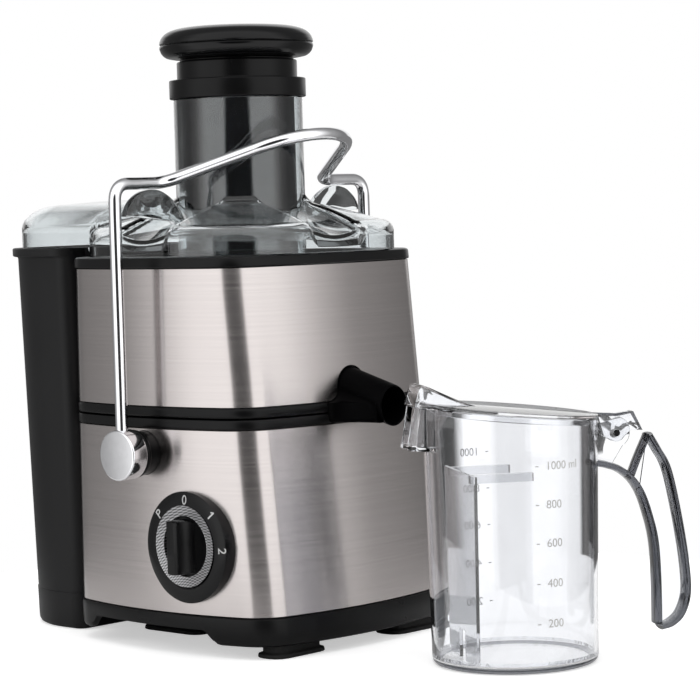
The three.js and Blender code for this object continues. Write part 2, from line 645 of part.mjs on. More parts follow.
/** Upper end frame: carries the top bearing and hangs the motor from the deck by its flange. */
function upperEndFrame() {
  const from = STATOR_TO + FIT;
  const top = DECK_BOTTOM - FIT;
  const hub = BEARING_RADIUS + 3;
  const shelf = from + 14;
  return turnedRing([
    [STATOR_RADIUS - END_FRAME_WALL, from], [STATOR_RADIUS, from], [STATOR_RADIUS, top - 4],
    [STATOR_RADIUS + 12, top - 4], [STATOR_RADIUS + 12, top], [STATOR_RADIUS - END_FRAME_WALL, top],
    [STATOR_RADIUS - END_FRAME_WALL, shelf + END_FRAME_FLOOR], [hub, shelf + END_FRAME_FLOOR],
    [hub, shelf + BEARING_HEIGHT + 2], [BEARING_RADIUS + FIT, shelf + BEARING_HEIGHT + 2],
    [BEARING_RADIUS + FIT, shelf + 1.5], [SHAFT_RADIUS + 1, shelf + 1.5], [SHAFT_RADIUS + 1, shelf],
    [STATOR_RADIUS - END_FRAME_WALL, shelf],
  ], 24);
}

const UPPER_BEARING_Z = STATOR_TO + FIT + 14 + 1.5 + FIT;
const LOWER_BEARING_Z = STATOR_FROM - FIT - LOWER_FRAME_DEPTH + 2 + FIT;

function bearing(from) {
  const radius = BEARING_RADIUS;
  const bore = SHAFT_RADIUS + RUNNING;
  const top = from + BEARING_HEIGHT;
  return turnedRing([[bore, from], [radius, from], [radius, top], [radius - 2.4, top], [radius - 2.8, top - 0.7],
    [bore + 2.4, top - 0.7], [bore + 2, top], [bore, top]], 20);
}

/** Laminated field ring with its winding slots. */
function stator() {
  const core = solid(ring(STATOR_BORE, STATOR_RADIUS, STATOR_FROM, STATOR_TO, 32));
  const reach = STATOR_RADIUS - 6;
  const slots = [-18, 0, 18].map((x) => solid(
    box(x - 4, x + 4, -reach + Math.abs(x) / 2, reach - Math.abs(x) / 2, STATOR_FROM - 1, STATOR_TO + 1)));
  return geometryOf(cut(core, ...slots));
}

/** Wound armature with open slots, and the commutator below it. */
function armature() {
  const radius = STATOR_BORE - AIR_GAP;
  const bore = SHAFT_RADIUS + FIT;
  const body = solid(turnedRing([[bore, STATOR_FROM - 4], [bore + 7, STATOR_FROM - 4], [bore + 7, STATOR_FROM + 2],
    [radius, STATOR_FROM + 2], [radius, STATOR_TO - 2], [radius - 4, STATOR_TO + 2], [bore, STATOR_TO + 2]], 24));
  const slots = Array.from({ length: 12 }, (_, i) => solid(
    box(radius - 4, radius + 2, -1.2, 1.2, STATOR_FROM, STATOR_TO).rotateZ((i / 12) * Math.PI * 2)));
  return geometryOf(cut(body, ...slots));
}

function motorShaft() {
  return turned([[0, SHAFT_BOTTOM], [SHAFT_RADIUS, SHAFT_BOTTOM], [SHAFT_RADIUS, SHAFT_TOP], [0, SHAFT_TOP]], 24);
}

function coolingFan() {
  const top = LOWER_BEARING_Z - 2 - FIT - 2;
  const hub = solid(ring(SHAFT_RADIUS + FIT, 10, top - FAN_HEIGHT, top, 28));
  const disc = solid(ring(9, FAN_RADIUS, top - 1.6, top, 28));
  const blades = Array.from({ length: FAN_BLADES }, (_, i) => solid(
    box(9, FAN_RADIUS - 0.5, -0.8, 0.8, top - FAN_HEIGHT, top - 1).rotateZ((i / FAN_BLADES) * Math.PI * 2)));
  return geometryOf(join(hub, disc, ...blades));
}

/** Toothed drive coupling that the basket drops onto. */
function driveCoupling() {
  const from = DECK_TOP + 2;
  const top = BASKET_FLOOR_Z - FIT;
  const hub = solid(turnedRing([[SHAFT_RADIUS + FIT, from], [COUPLING_RADIUS, from], [COUPLING_RADIUS, from + 8],
    [COUPLING_RADIUS - 3, from + 10], [COUPLING_RADIUS - 3, top], [SHAFT_RADIUS + FIT, top]], 24));
  const teeth = Array.from({ length: COUPLING_TEETH }, (_, i) => solid(
    box(COUPLING_RADIUS - 4, COUPLING_RADIUS - 0.5, -2, 2, from + 9, top)
      .rotateZ((i / COUPLING_TEETH) * Math.PI * 2)));
  return geometryOf(join(hub, ...teeth));
}

/** Pressed floor of the basket, dished up at its edge. */
function basketFloor() {
  const floor = BASKET_FLOOR_Z;
  const top = floor + BASKET_SHEET;
  return turnedRing([[SHAFT_RADIUS + FIT, floor], [BASKET_FLOOR_RADIUS - 3, floor], [BASKET_FLOOR_RADIUS, floor + 2],
    [BASKET_FLOOR_RADIUS - 1, floor + 3], [BASKET_FLOOR_RADIUS - 3.6, top], [SHAFT_RADIUS + FIT, top]], 28);
}

/** Conical filter wall; slots run up it. */
function filterBasket() {
  const from = BASKET_FLOOR_Z + 2;
  const inset = BASKET_FLOOR_RADIUS + FIT;
  const rimFrom = BASKET_TOP_Z - BASKET_RIM_HEIGHT;
  const inside = BASKET_TOP_RADIUS - BASKET_SHEET;
  const cone = solid(turnedRing([[inset, from], [inset + BASKET_SHEET, from], [BASKET_TOP_RADIUS, rimFrom],
    [BASKET_TOP_RADIUS, BASKET_TOP_Z], [inside, BASKET_TOP_Z], [inside, rimFrom]], 36));
  const reach = BASKET_TOP_RADIUS + BASKET_SHEET;
  const slots = Array.from({ length: BASKET_SLOTS }, (_, i) => solid(
    box(BASKET_FLOOR_RADIUS - 2, reach, -BASKET_SLOT / 2, BASKET_SLOT / 2, from + 8, rimFrom - 6)
      .rotateZ(((i + 0.5) / BASKET_SLOTS) * Math.PI * 2)));
  return geometryOf(cut(cone, ...slots));
}

function basketRim() {
  const rimFrom = BASKET_TOP_Z - BASKET_RIM_HEIGHT;
  const inner = BASKET_TOP_RADIUS + FIT;
  return turnedRing([[inner, rimFrom], [inner + BASKET_RIM_WIDTH, rimFrom],
    [inner + BASKET_RIM_WIDTH, BASKET_TOP_Z + FIT], [inner + BASKET_RIM_WIDTH - 1, BASKET_TOP_Z + FIT + 1],
    [BASKET_TOP_RADIUS - BASKET_SHEET, BASKET_TOP_Z + FIT + 1], [BASKET_TOP_RADIUS - BASKET_SHEET, BASKET_TOP_Z + FIT],
    [inner, BASKET_TOP_Z + FIT]], 36);
}

/** Grater disc: thin plate with rows of raised cutting teeth swept back from the middle. */
function graterDisc() {
  const from = BASKET_FLOOR_Z + BASKET_SHEET + FIT;
  const top = from + GRATER_SHEET;
  const plate = solid(ring(SHAFT_RADIUS + FIT, GRATER_RADIUS, from, top, 28));
  const teeth = [];
  for (let row = 0; row < GRATER_ROWS; row += 1) {
    const radius = lerp(15, GRATER_RADIUS - 3, row / (GRATER_ROWS - 1));
    const count = 6 + row * 4;
    for (let i = 0; i < count; i += 1) {
      const angle = ((i + row * 0.3) / count) * Math.PI * 2;
      const tooth = new THREE.ConeGeometry(1.5, GRATER_TOOTH + 0.4, 3).rotateX(Math.PI / 2).rotateZ(angle)
        .translate(radius * Math.cos(angle), radius * Math.sin(angle), top - 0.4 + (GRATER_TOOTH + 0.4) / 2);
      teeth.push(solid(tooth));
    }
  }
  return geometryOf(plate.add(wasm.Manifold.union(teeth)));
}

function basketNut() {
  const from = NUT_TOP - NUT_HEIGHT;
  return geometryOf(cut(solid(rod(NUT_RADIUS, from, NUT_TOP, 6)), solid(rod(SHAFT_RADIUS + FIT, from - NUT_HEIGHT, 2 * NUT_TOP, 20))));
}

// ---------------------------------------------------------------- bowl unit

const spoutSlope = radians(SPOUT_SLOPE_DEG);

/** A straight round bar along the spout's axis, reaching back from the mouth. */
function spoutBar(radius, back, beyond, segments = 24) {
  return rod(radius, -back, beyond, segments).rotateY(Math.PI / 2 + spoutSlope)
    .translate(SPOUT_MOUTH_X, 0, SPOUT_MOUTH_Z);
}

/** Black shell of the bowl unit: seam trim and the wall behind the steel sheet. */
function bowlShell() {
  const trimTop = SEAM_Z + TRIM_HEIGHT;
  const top = STEEL_TO - FIT;
  const shell = solid(loft([housingRing(SEAM_Z, 0), housingRing(trimTop, 0), housingRing(trimTop, SKIN),
    housingRing(top, SKIN), housingRing(top, SHELL_INSIDE), housingRing(SEAM_Z, SHELL_INSIDE)], true));
  const tubeRoom = solid(spoutBar(SPOUT_RADIUS + FIT, SPOUT_REACH, SPOUT_REACH));
  return geometryOf(cut(join(shell, spoutApron(trimTop), spoutProw(trimTop)), tubeRoom));
}

/** Black ring that closes the top of the bowl unit and stands over the steel. */
function topRim() {
  const top = STEEL_TO + RIM_HEIGHT;
  return loft([housingRing(STEEL_TO, -RIM_OVERHANG), housingRing(top - 1.5, -RIM_OVERHANG), housingRing(top, 0.5),
    circleRing(top, BOWL_RADIUS + 1), circleRing(top - 1, BOWL_RADIUS), circleRing(STEEL_TO, BOWL_RADIUS)], true);
}

/** Round juice bowl with a drain floor that rises to the collar round the drive. */
function juiceBowl() {
  const floor = BOWL_FLOOR_Z;
  const under = floor - BOWL_WALL;
  const outside = BOWL_RADIUS + BOWL_WALL;
  const collar = BOWL_COLLAR_RADIUS;
  const collarTop = floor + BOWL_COLLAR_HEIGHT;
  const cup = solid(turnedRing([[collar, under], [BOWL_RADIUS - 6, under], [outside, floor + 5], [outside, STEEL_TO - FIT],
    [BOWL_RADIUS, STEEL_TO - FIT], [BOWL_RADIUS, floor + 6], [BOWL_RADIUS - 6, floor],
    [collar + BOWL_WALL + 2, floor + 2], [collar + BOWL_WALL, collarTop], [collar, collarTop]], 40));
  return geometryOf(cut(cup, solid(spoutBar(SPOUT_RADIUS - SPOUT_WALL, SPOUT_REACH + BOWL_WALL + 6, 0))));
}

/** Sloping spout that leaves the bowl just above its floor. */
function juiceSpout() {
  const tube = solid(spoutBar(SPOUT_RADIUS, SPOUT_REACH, SPOUT_REACH));
  const bore = solid(spoutBar(SPOUT_RADIUS - SPOUT_WALL, 2 * SPOUT_REACH, 2 * SPOUT_REACH));
  const wide = 3 * SPOUT_RADIUS;
  const beyondMouth = solid(box(SPOUT_MOUTH_X, SPOUT_MOUTH_X + 2 * SPOUT_REACH, -wide, wide,
    SPOUT_MOUTH_Z - 2 * SPOUT_REACH, SPOUT_MOUTH_Z + SPOUT_REACH));
  const bowl = solid(rod(BOWL_RADIUS + BOWL_WALL + FIT, BOWL_FLOOR_Z - wide, STEEL_TO, 40));
  return geometryOf(cut(tube, bore, beyondMouth, bowl));
}

/** The web under the spout that fills the notch of the steel sheet down to the seam trim. */
function spoutApron(from) {
  const face = housingFaceX(from);
  const outline = new THREE.Shape();
  outline.moveTo(-SPOUT_RADIUS - 6, from - 1);
  outline.quadraticCurveTo(-SPOUT_RADIUS, from + 3, -SPOUT_RADIUS, spoutAxisZ(face));
  outline.absarc(0, spoutAxisZ(face), SPOUT_RADIUS, Math.PI, 0, true);
  outline.quadraticCurveTo(SPOUT_RADIUS, from + 3, SPOUT_RADIUS + 6, from - 1);
  const web = new THREE.ExtrudeGeometry(outline, { depth: SHELL_INSIDE - 0.4, bevelEnabled: false, curveSegments: 8 });
  return solid(web.rotateX(Math.PI / 2).rotateZ(Math.PI / 2).translate(face - SHELL_INSIDE, 0, 0));
}

/** The trim's swelling under the spout: level below, hanging in front of the seam, narrowing to the tube. */
function spoutProw(top) {
  const face = housingFaceX(SEAM_Z);
  const tip = SPOUT_RADIUS + FIT + 1.4;
  const side = [0, 0.12, 0.26, 0.42, 0.6, 0.8, 1].map((t) => [
    lerp(face, SPOUT_MOUTH_X - PROW_SHORT, t), lerp(PROW_HALF_WIDTH, tip, 1 - (1 - t) ** 2.2)]);
  const plan = [[face - SHELL_INSIDE + 0.4, PROW_HALF_WIDTH], ...side];
  const outline = [...plan.map(([x, y]) => [x, -y]), ...plan.reverse()];
  const body = solid(prism(shapeOf(outline), SEAM_Z - TRIM_HEIGHT + 0.5, top - 0.1));
  return cut(body, solid(loft([housingRing(STEEL_FROM, -FIT), housingRing(SEAM_Z, -FIT)])));
}

const spoutAxisZ = (x) => SPOUT_MOUTH_Z + (SPOUT_MOUTH_X - x) * Math.tan(spoutSlope);

/** Where the housing's front (+X) face stands at a height. */
function housingFaceX(z) {
  const up = (z - STEEL_FROM) / (STEEL_TO - STEEL_FROM);
  return lerp(BASE_CENTRE_X, 0, up) + lerp(BASE_HALF_X, TOP_HALF_X, up);
}

function upperSteelBand() {
  const from = SEAM_Z + TRIM_HEIGHT;
  const band = steelBand(from + FIT, STEEL_TO - FIT);
  const gap = FIT + 0.2;
  const notch = new THREE.Shape();
  notch.moveTo(-SPOUT_RADIUS - 6 - gap, from - 1);
  notch.quadraticCurveTo(-SPOUT_RADIUS - gap, from + 3, -SPOUT_RADIUS - gap, spoutAxisZ(BOWL_RADIUS));
  notch.absarc(0, spoutAxisZ(BOWL_RADIUS + 10), SPOUT_RADIUS + gap + 1.5, Math.PI, 0, true);
  notch.quadraticCurveTo(SPOUT_RADIUS + gap, from + 3, SPOUT_RADIUS + 6 + gap, from - 1);
  const cutter = new THREE.ExtrudeGeometry(notch, { depth: 60, bevelEnabled: false, curveSegments: 8 })
    .rotateX(Math.PI / 2).rotateZ(Math.PI / 2).translate(BOWL_RADIUS - 10, 0, 0);
  return geometryOf(cut(band, solid(cutter)));
}

// ---------------------------------------------------------------- lid

const LID_SEAT = STEEL_TO + RIM_HEIGHT + FIT;

/** Main dome of the lid, grown or drawn in by an offset. */
function lidDome(offset, bottom) {
  const wall = (z, inset) => cushionRing(z, 0, LID_HALF_X, LID_HALF_Y, 1200, LID_CORNER_RADIUS, inset - offset);
  return solid(loft([
    wall(bottom, 0), wall(LID_WALL_TOP, 0.6), wall(LID_WALL_TOP + 5.5 + offset / 2, 2.6),
    wall(LID_SHOULDER_Z + offset, 8), circleRing(LID_DOME_TOP + offset, TUBE_RADIUS + 1),
  ]));
}

/** The raised tunnel that carries the pulp over the container. */
function lidDuct(offset, bottom) {
  const far = DUCT_END_X - offset;
  const half = DUCT_HALF_WIDTH + offset;
  const corner = DUCT_CORNER_RADIUS + offset;
  const plan = new THREE.Shape();
  plan.moveTo(0, -TUBE_RADIUS + 2 - offset);
  plan.lineTo(0, TUBE_RADIUS - 2 + offset);
  plan.lineTo(-LID_HALF_X + 8, half);
  plan.lineTo(far + corner, half);
  plan.absarc(far + corner, half - corner, corner, Math.PI / 2, Math.PI, false);
  plan.absarc(far + corner, -half + corner, corner, Math.PI, 1.5 * Math.PI, false);
  plan.lineTo(-LID_HALF_X + 8, -half);
  const height = DUCT_TOP + offset - bottom;
  const tunnel = new THREE.ExtrudeGeometry(plan, {
    depth: height, bevelEnabled: true, bevelThickness: DUCT_EDGE_HEIGHT, bevelSize: DUCT_EDGE_WIDTH,
    bevelOffset: -DUCT_EDGE_WIDTH, bevelSegments: 3, curveSegments: 5,
  }).translate(0, 0, bottom - DUCT_EDGE_HEIGHT);
  const wide = 4 * LID_HALF_Y;
  return cut(solid(tunnel), solid(box(-wide, wide, -wide, wide, bottom - 4 * DUCT_EDGE_HEIGHT, bottom)));
}

/** Sloping scoops that thin the dome at the middle of three sides. */
function lidScoops(offset) {
  const slope = radians(LID_SCOOP_DEG);
  const wedge = (reach) => {
    const foot = reach + 4;
    const low = LID_SCOOP_FOOT_Z - 4 * Math.tan(slope) + offset / Math.cos(slope);
    const shape = shapeOf([[foot, low], [foot + 40, low], [foot + 40, low + 60], [foot - 60 / Math.tan(slope), low + 60]]);
    return throughY(shape, -60, 60);
  };
  return [
    solid(wedge(LID_HALF_X)),
    solid(wedge(LID_HALF_Y).rotateZ(Math.PI / 2)),
    solid(wedge(LID_HALF_Y).rotateZ(-Math.PI / 2)),
  ];
}

/** Semicircular ears that the closed arm presses on. */
function catchFin(side) {
  const ear = new THREE.Shape();
  const base = ARM_TOP_Z - ROD_RADIUS - FIT - FIN_RADIUS;
  ear.absarc(FIN_Y, base, FIN_RADIUS, 0, Math.PI, false);
  ear.lineTo(FIN_Y - FIN_RADIUS, base - 4);
  ear.lineTo(LID_HALF_Y - 4, LID_SCOOP_FOOT_Z - 2);
  ear.lineTo(LID_HALF_Y + 2, LID_SCOOP_FOOT_Z - 1.5);
  const plate = new THREE.ExtrudeGeometry(ear, { depth: FIN_THICKNESS, bevelEnabled: false, curveSegments: 12 });
  return solid(plate.rotateX(Math.PI / 2).rotateZ(Math.PI / 2).scale(1, side, 1)
    .translate(PIVOT_X - FIN_THICKNESS / 2, 0, 0));
}

function lid() {
  const ductBottom = CONTAINER_TOP + FIT;
  const flange = solid(loft([housingRing(LID_SEAT, 1), housingRing(LID_SEAT + LID_FLANGE, 1.6)]));
  const skin = join(cut(lidDome(0, LID_SEAT), ...lidScoops(0)), lidDuct(0, ductBottom), flange);
  const hollow = join(cut(lidDome(-LID_WALL, LID_SEAT - 1), ...lidScoops(-LID_WALL)), lidDuct(-LID_WALL, ductBottom - 4));
  const hookRoom = solid(box(2 * CONTAINER_FAR_X, CONTAINER_HOOK_X + 2, -CONTAINER_HOOK_HALF_WIDTH - 3,
    CONTAINER_HOOK_HALF_WIDTH + 3, LID_SEAT - 5, ductBottom));
  const tubeRoom = solid(rod(TUBE_RADIUS + FIT, TUBE_BOTTOM, TUBE_TOP, 36));
  return geometryOf(cut(join(skin, catchFin(1), catchFin(-1)), hollow, hookRoom, tubeRoom));
}

function feedTube() {
  return ring(TUBE_RADIUS - TUBE_WALL, TUBE_RADIUS, TUBE_BOTTOM, TUBE_TOP, 36);
}

// ---------------------------------------------------------------- locking arm

/** Centre line of the bent rod: two legs, two inward runs and the raised loop between them. */
function armPath() {
  const rise = radians(LOOP_RISE_DEG);
  const path = new THREE.CurvePath();
  const loopPoint = (along, y) => new THREE.Vector3(
    PIVOT_X + along * Math.cos(rise), y, ARM_TOP_Z + along * Math.sin(rise));
  const corner = (before, at, after, radius) => {
    const back = before.clone().sub(at).setLength(radius);
    const on = after.clone().sub(at).setLength(radius);
    return [at.clone().add(back), at.clone(), at.clone().add(on)];
  };
  const lean = Math.atan2(LOOP_HALF_WIDTH - LOOP_NOSE_RADIUS, LOOP_REACH - LOOP_NOSE_RADIUS + 18);
  const noseCentre = LOOP_REACH - LOOP_NOSE_RADIUS;
  const tangent = (side) => loopPoint(noseCentre + LOOP_NOSE_RADIUS * Math.sin(lean),
    side * LOOP_NOSE_RADIUS * Math.cos(lean));
  const half = (side) => {
    const foot = new THREE.Vector3(PIVOT_X, side * LEG_Y, PIVOT_Z + ROD_FOOT);
    const knee = new THREE.Vector3(PIVOT_X, side * LEG_Y, ARM_TOP_Z);
    const elbow = new THREE.Vector3(PIVOT_X, side * LOOP_HALF_WIDTH, ARM_TOP_Z);
    return { foot, knee, elbow, end: tangent(side) };
  };
  const near = half(-1);
  const far = half(1);
  const [k1, k, k2] = corner(near.foot, near.knee, near.elbow, ARM_BEND_RADIUS);
  const [e1, e, e2] = corner(near.knee, near.elbow, near.end, LOOP_BEND_RADIUS);
  const [f1, f, f2] = corner(far.end, far.elbow, far.knee, LOOP_BEND_RADIUS);
  const [m1, m, m2] = corner(far.elbow, far.knee, far.foot, ARM_BEND_RADIUS);
  path.add(new THREE.LineCurve3(near.foot, k1));
  path.add(new THREE.QuadraticBezierCurve3(k1, k, k2));
  path.add(new THREE.LineCurve3(k2, e1));
  path.add(new THREE.QuadraticBezierCurve3(e1, e, e2));
  path.add(new THREE.LineCurve3(e2, near.end));
  const nose = [];
  for (let i = 0; i <= 10; i += 1) {
    const angle = lerp(-Math.PI / 2 + lean, Math.PI / 2 - lean, i / 10);
    nose.push(loopPoint(noseCentre + LOOP_NOSE_RADIUS * Math.cos(angle), LOOP_NOSE_RADIUS * Math.sin(angle)));
  }
  path.add(new THREE.CatmullRomCurve3(nose, false, 'centripetal'));
  path.add(new THREE.LineCurve3(far.end, f1));
  path.add(new THREE.QuadraticBezierCurve3(f1, f, f2));
  path.add(new THREE.LineCurve3(f2, m1));
  path.add(new THREE.QuadraticBezierCurve3(m1, m, m2));
  path.add(new THREE.LineCurve3(m2, far.foot));
  return path;
}

function armRod() {
  const section = new THREE.Shape().absarc(0, 0, ROD_RADIUS, 0, Math.PI * 2, false);
  return new THREE.ExtrudeGeometry(section, { steps: 72, extrudePath: armPath(), curveSegments: 4, bevelEnabled: false });
}

/** Room for the foot of a leg in the pieces that hold it. */
const rodRoom = (side) => solid(rod(ROD_RADIUS + FIT, ROD_FOOT - FIT, KNOB_RADIUS + 5, 16).translate(0, side * LEG_Y, 0));

/** Black core of a pivot: it turns on the pin and holds the end of the rod. */
function armHub(side) {
  const bore = PIVOT_PIN_RADIUS + RUNNING;
  const drum = solid(towards(side, ring(bore, HUB_RADIUS, HUB_FROM, HUB_TO, 24)));
  return geometryOf(cut(drum, rodRoom(side)));
}

/** Chrome cup over the core, open towards the housing. */
function armCap(side) {
  const floor = HUB_TO + FIT;
  const inner = HUB_RADIUS + FIT;
  const cup = solid(towards(side, turned([[0, floor], [inner, floor], [inner, CAP_OPEN], [KNOB_RADIUS - 0.5, CAP_OPEN],
    [KNOB_RADIUS, CAP_OPEN + 0.5], [KNOB_RADIUS, CAP_FACE - 1], [KNOB_RADIUS - 1, CAP_FACE], [0, CAP_FACE]], 28)));
  return geometryOf(cut(cup, rodRoom(side)));
}

// ---------------------------------------------------------------- pusher

function pusherBody() {
  const inner = PUSHER_RADIUS - PUSHER_WALL;
  const top = COLLAR_FROM - FIT;
  return turned([[0, PUSHER_BOTTOM], [PUSHER_RADIUS - 2, PUSHER_BOTTOM], [PUSHER_RADIUS, PUSHER_BOTTOM + 2],
    [PUSHER_RADIUS, top], [inner, top], [inner, PUSHER_BOTTOM + 3], [0, PUSHER_BOTTOM + 3]], 32);
}

function pusherCollar() {
  const lip = COLLAR_RADIUS;
  const inner = STEM_RADIUS - 3;
  return turnedRing([[inner, COLLAR_FROM], [lip - 0.8, COLLAR_FROM], [lip, COLLAR_FROM + 0.8], [lip, COLLAR_TO - 0.8],
    [lip - 0.8, COLLAR_TO], [STEM_RADIUS, COLLAR_TO], [STEM_RADIUS, STEM_TO], [CAP_NECK_RADIUS + 1.5, STEM_TO],
    [CAP_NECK_RADIUS + 1.5, CAP_FROM - FIT], [inner - 2, CAP_FROM - FIT], [inner - 2, STEM_TO - 2], [inner, STEM_TO - 2]], 32);
}

function pusherCapBase() {
  const seam = CAP_SEAM - FIT / 2;
  return turned([[0, CAP_FROM], [CAP_NECK_RADIUS + 3, CAP_FROM], [CAP_RADIUS - 5, CAP_FROM + 1.2],
    [CAP_RADIUS - 1.4, CAP_FROM + 3.6], [CAP_RADIUS, CAP_FROM + 6.5], [CAP_RADIUS, seam], [0, seam]], 36);
}

function pusherCapTop() {
  const seam = CAP_SEAM + FIT / 2;
  return turned([[0, seam], [CAP_RADIUS, seam], [CAP_RADIUS - 0.2, seam + 2], [CAP_RADIUS - 2, seam + 5.5],
    [CAP_RADIUS - 6, seam + 8.6], [CAP_RADIUS - 14, CAP_TOP - 1.1], [CAP_RADIUS - 22, CAP_TOP], [0, CAP_TOP]], 36);
}

// ---------------------------------------------------------------- pulp container

/** Outline of the container: flat against the housing, round on its far side. */
function containerRing(z, inset, draft) {
  const near = CONTAINER_NEAR_X - inset;
  const far = CONTAINER_FAR_X + inset + draft;
  const half = CONTAINER_HALF_WIDTH - inset - draft;
  const outer = CONTAINER_OUTER_CORNER - inset;
  const inner = Math.max(CONTAINER_INNER_CORNER - inset, 1);
  const points = [];
  const arc = (x, y, radius, fromDeg, toDeg, steps) => {
    for (let i = 0; i <= steps; i += 1) {
      const angle = radians(lerp(fromDeg, toDeg, i / steps));
      points.push(new THREE.Vector3(x + radius * Math.cos(angle), y + radius * Math.sin(angle), z));
    }
  };
  arc(near - inner, half - inner, inner, 0, 90, 4);
  arc(far + outer, half - outer, outer, 90, 180, 9);
  arc(far + outer, -half + outer, outer, 180, 270, 9);
  arc(near - inner, -half + inner, inner, 270, 360, 4);
  return points;
}

function pulpContainer() {
  const lipFrom = CONTAINER_TOP - CONTAINER_LIP_HEIGHT;
  const round = CONTAINER_FOOT_ROUND;
  const draft = (z) => CONTAINER_DRAFT * (1 - z / CONTAINER_TOP);
  const outside = solid(loft([
    containerRing(0, round * 0.7, draft(0)), containerRing(round * 0.3, round * 0.25, draft(0)),
    containerRing(round, 0, draft(round)), containerRing(lipFrom, 0, draft(lipFrom)),
    containerRing(lipFrom + 1.2, -CONTAINER_LIP, 0), containerRing(CONTAINER_TOP - 1, -CONTAINER_LIP, 0),
    containerRing(CONTAINER_TOP, -CONTAINER_LIP + 1, 0),
  ]));
  const cavity = solid(loft([
    containerRing(CONTAINER_WALL, round, draft(0)), containerRing(round, CONTAINER_WALL, draft(round)),
    containerRing(CONTAINER_TOP + 5, CONTAINER_WALL, 0),
  ]));
  const hookFrom = STEEL_TO + RIM_HEIGHT + FIT;
  const hook = solid(box(CONTAINER_NEAR_X - 4, CONTAINER_HOOK_X, -CONTAINER_HOOK_HALF_WIDTH,
    CONTAINER_HOOK_HALF_WIDTH, hookFrom, CONTAINER_TOP));
  const wide = 2 * CONTAINER_HALF_WIDTH;
  const nearSide = solid(box(CONTAINER_NEAR_X, 0, -wide, wide, -CONTAINER_WALL, hookFrom));
  return geometryOf(cut(join(cut(outside, nearSide), hook), cavity));
}

// ---------------------------------------------------------------- jug (drawn about its own axis, handle to +X)

const rimSlope = radians(JUG_RIM_SLOPE_DEG);
const jugRadius = (z) => lerp(JUG_BASE_RADIUS, JUG_TOP_RADIUS, z / JUG_RIM_Z);
const rimZ = (u) => JUG_RIM_Z - u * Math.tan(rimSlope);

/** Everything above the sloping rim plane, raised by an offset. */
function aboveRim(offset) {
  const far = 3 * JUG_TOP_RADIUS;
  return solid(box(-far, far, -far, far, 0, far).rotateY(rimSlope).translate(0, 0, JUG_RIM_Z + offset));
}

/** Pouring lip: a pointed trough on the side away from the handle. */
function lipSolid(inset, top) {
  const reach = LIP_REACH - inset;
  const half = LIP_WIDTH / 2 - inset;
  const wall = jugRadius(JUG_RIM_Z) - 8;
  const section = (z, out) => [
    new THREE.Vector3(-wall, -half, z), new THREE.Vector3(-out + 7, -half, z), new THREE.Vector3(-out, -half + 6, z),
    new THREE.Vector3(-out, half - 6, z), new THREE.Vector3(-out + 7, half, z), new THREE.Vector3(-wall, half, z),
  ].reverse();
  const low = JUG_RIM_Z + 5 - LIP_DEPTH;
  return solid(loft([section(low + inset, reach), section(top, reach - LIP_RAKE * (top - low))]));
}

/** A flat plate of constant thickness that follows a line in the jug's middle plane. */
function ribAlong(points, steps, width) {
  const line = new THREE.CatmullRomCurve3(points.map(([u, z]) => new THREE.Vector3(u, 0, z)), false, 'centripetal')
    .getPoints(steps);
  const half = HANDLE_RIB / 2;
  const offset = (side) => line.map((point, i) => {
    const way = line[Math.min(i + 1, line.length - 1)].clone().sub(line[Math.max(i - 1, 0)]).normalize();
    return [point.x - side * way.z * half, point.z + side * way.x * half];
  });
  return { rib: solid(throughY(shapeOf([...offset(1), ...offset(-1).reverse()]), -width / 2, width / 2)), line };
}

const disc = (radius) => new THREE.Shape().absarc(HINGE_U, HINGE_Z, radius, 0, Math.PI * 2, false);
const acrossJug = (shape, half) => solid(new THREE.ExtrudeGeometry(shape, { depth: 2 * half, bevelEnabled: false,
  curveSegments: 10 }).translate(0, 0, -half).rotateX(Math.PI / 2));

/** Handle: an outer and an inner rib with a thin web, hanging free at its lower end. */
function handleSolid() {
  const wallAt = (z) => jugRadius(z) - JUG_WALL / 2;
  const grip = (out, down) => [HINGE_U + out * HANDLE_REACH, HINGE_Z - down * HANDLE_DROP];
  const outer = ribAlong([grip(0.47, 0.03), grip(0.75, 0.2), grip(0.89, 0.44), grip(0.985, 0.68), grip(1, 0.835),
    grip(0.91, 0.935), grip(0.6, 1)], 14, HANDLE_WIDTH);
  const root = HINGE_Z - 0.145 * HANDLE_DROP;
  const inner = ribAlong([[wallAt(root), root], grip(-0.15, 0.16), grip(0.035, 0.185), grip(0.21, 0.235), grip(0.34, 0.305),
    grip(0.44, 0.405), grip(0.535, 0.555), grip(0.563, 0.75), grip(0.563, 0.99)], 14, HANDLE_WIDTH);
  const strut = ribAlong([grip(0.47, 0.03), grip(0.325, 0.13), grip(0.22, 0.22)], 4, HANDLE_WIDTH * 0.6);
  const edge = [...outer.line, ...inner.line.reverse()].map((point) => [point.x, point.z]);
  const brow = HINGE_Z + 4;
  const web = acrossJug(shapeOf([...edge, [wallAt(brow), brow], [HINGE_U, brow]]), HANDLE_WEB / 2);
  const sweep = acrossJug(disc(THUMB_RADIUS + 0.6), HANDLE_WIDTH);
  const boss = acrossJug(disc(HINGE_BOSS), HANDLE_WEB / 2);
  const panel = acrossJug(shapeOf([[wallAt(root), root], [HINGE_U - 2, root - 1], [HINGE_U + 4, HINGE_Z - 3],
    [HINGE_U, brow + 1], [wallAt(brow + 2), brow + 2]]), HANDLE_WEB / 2);
  return join(cut(join(web, outer.rib, inner.rib, strut.rib), sweep), boss, panel);
}

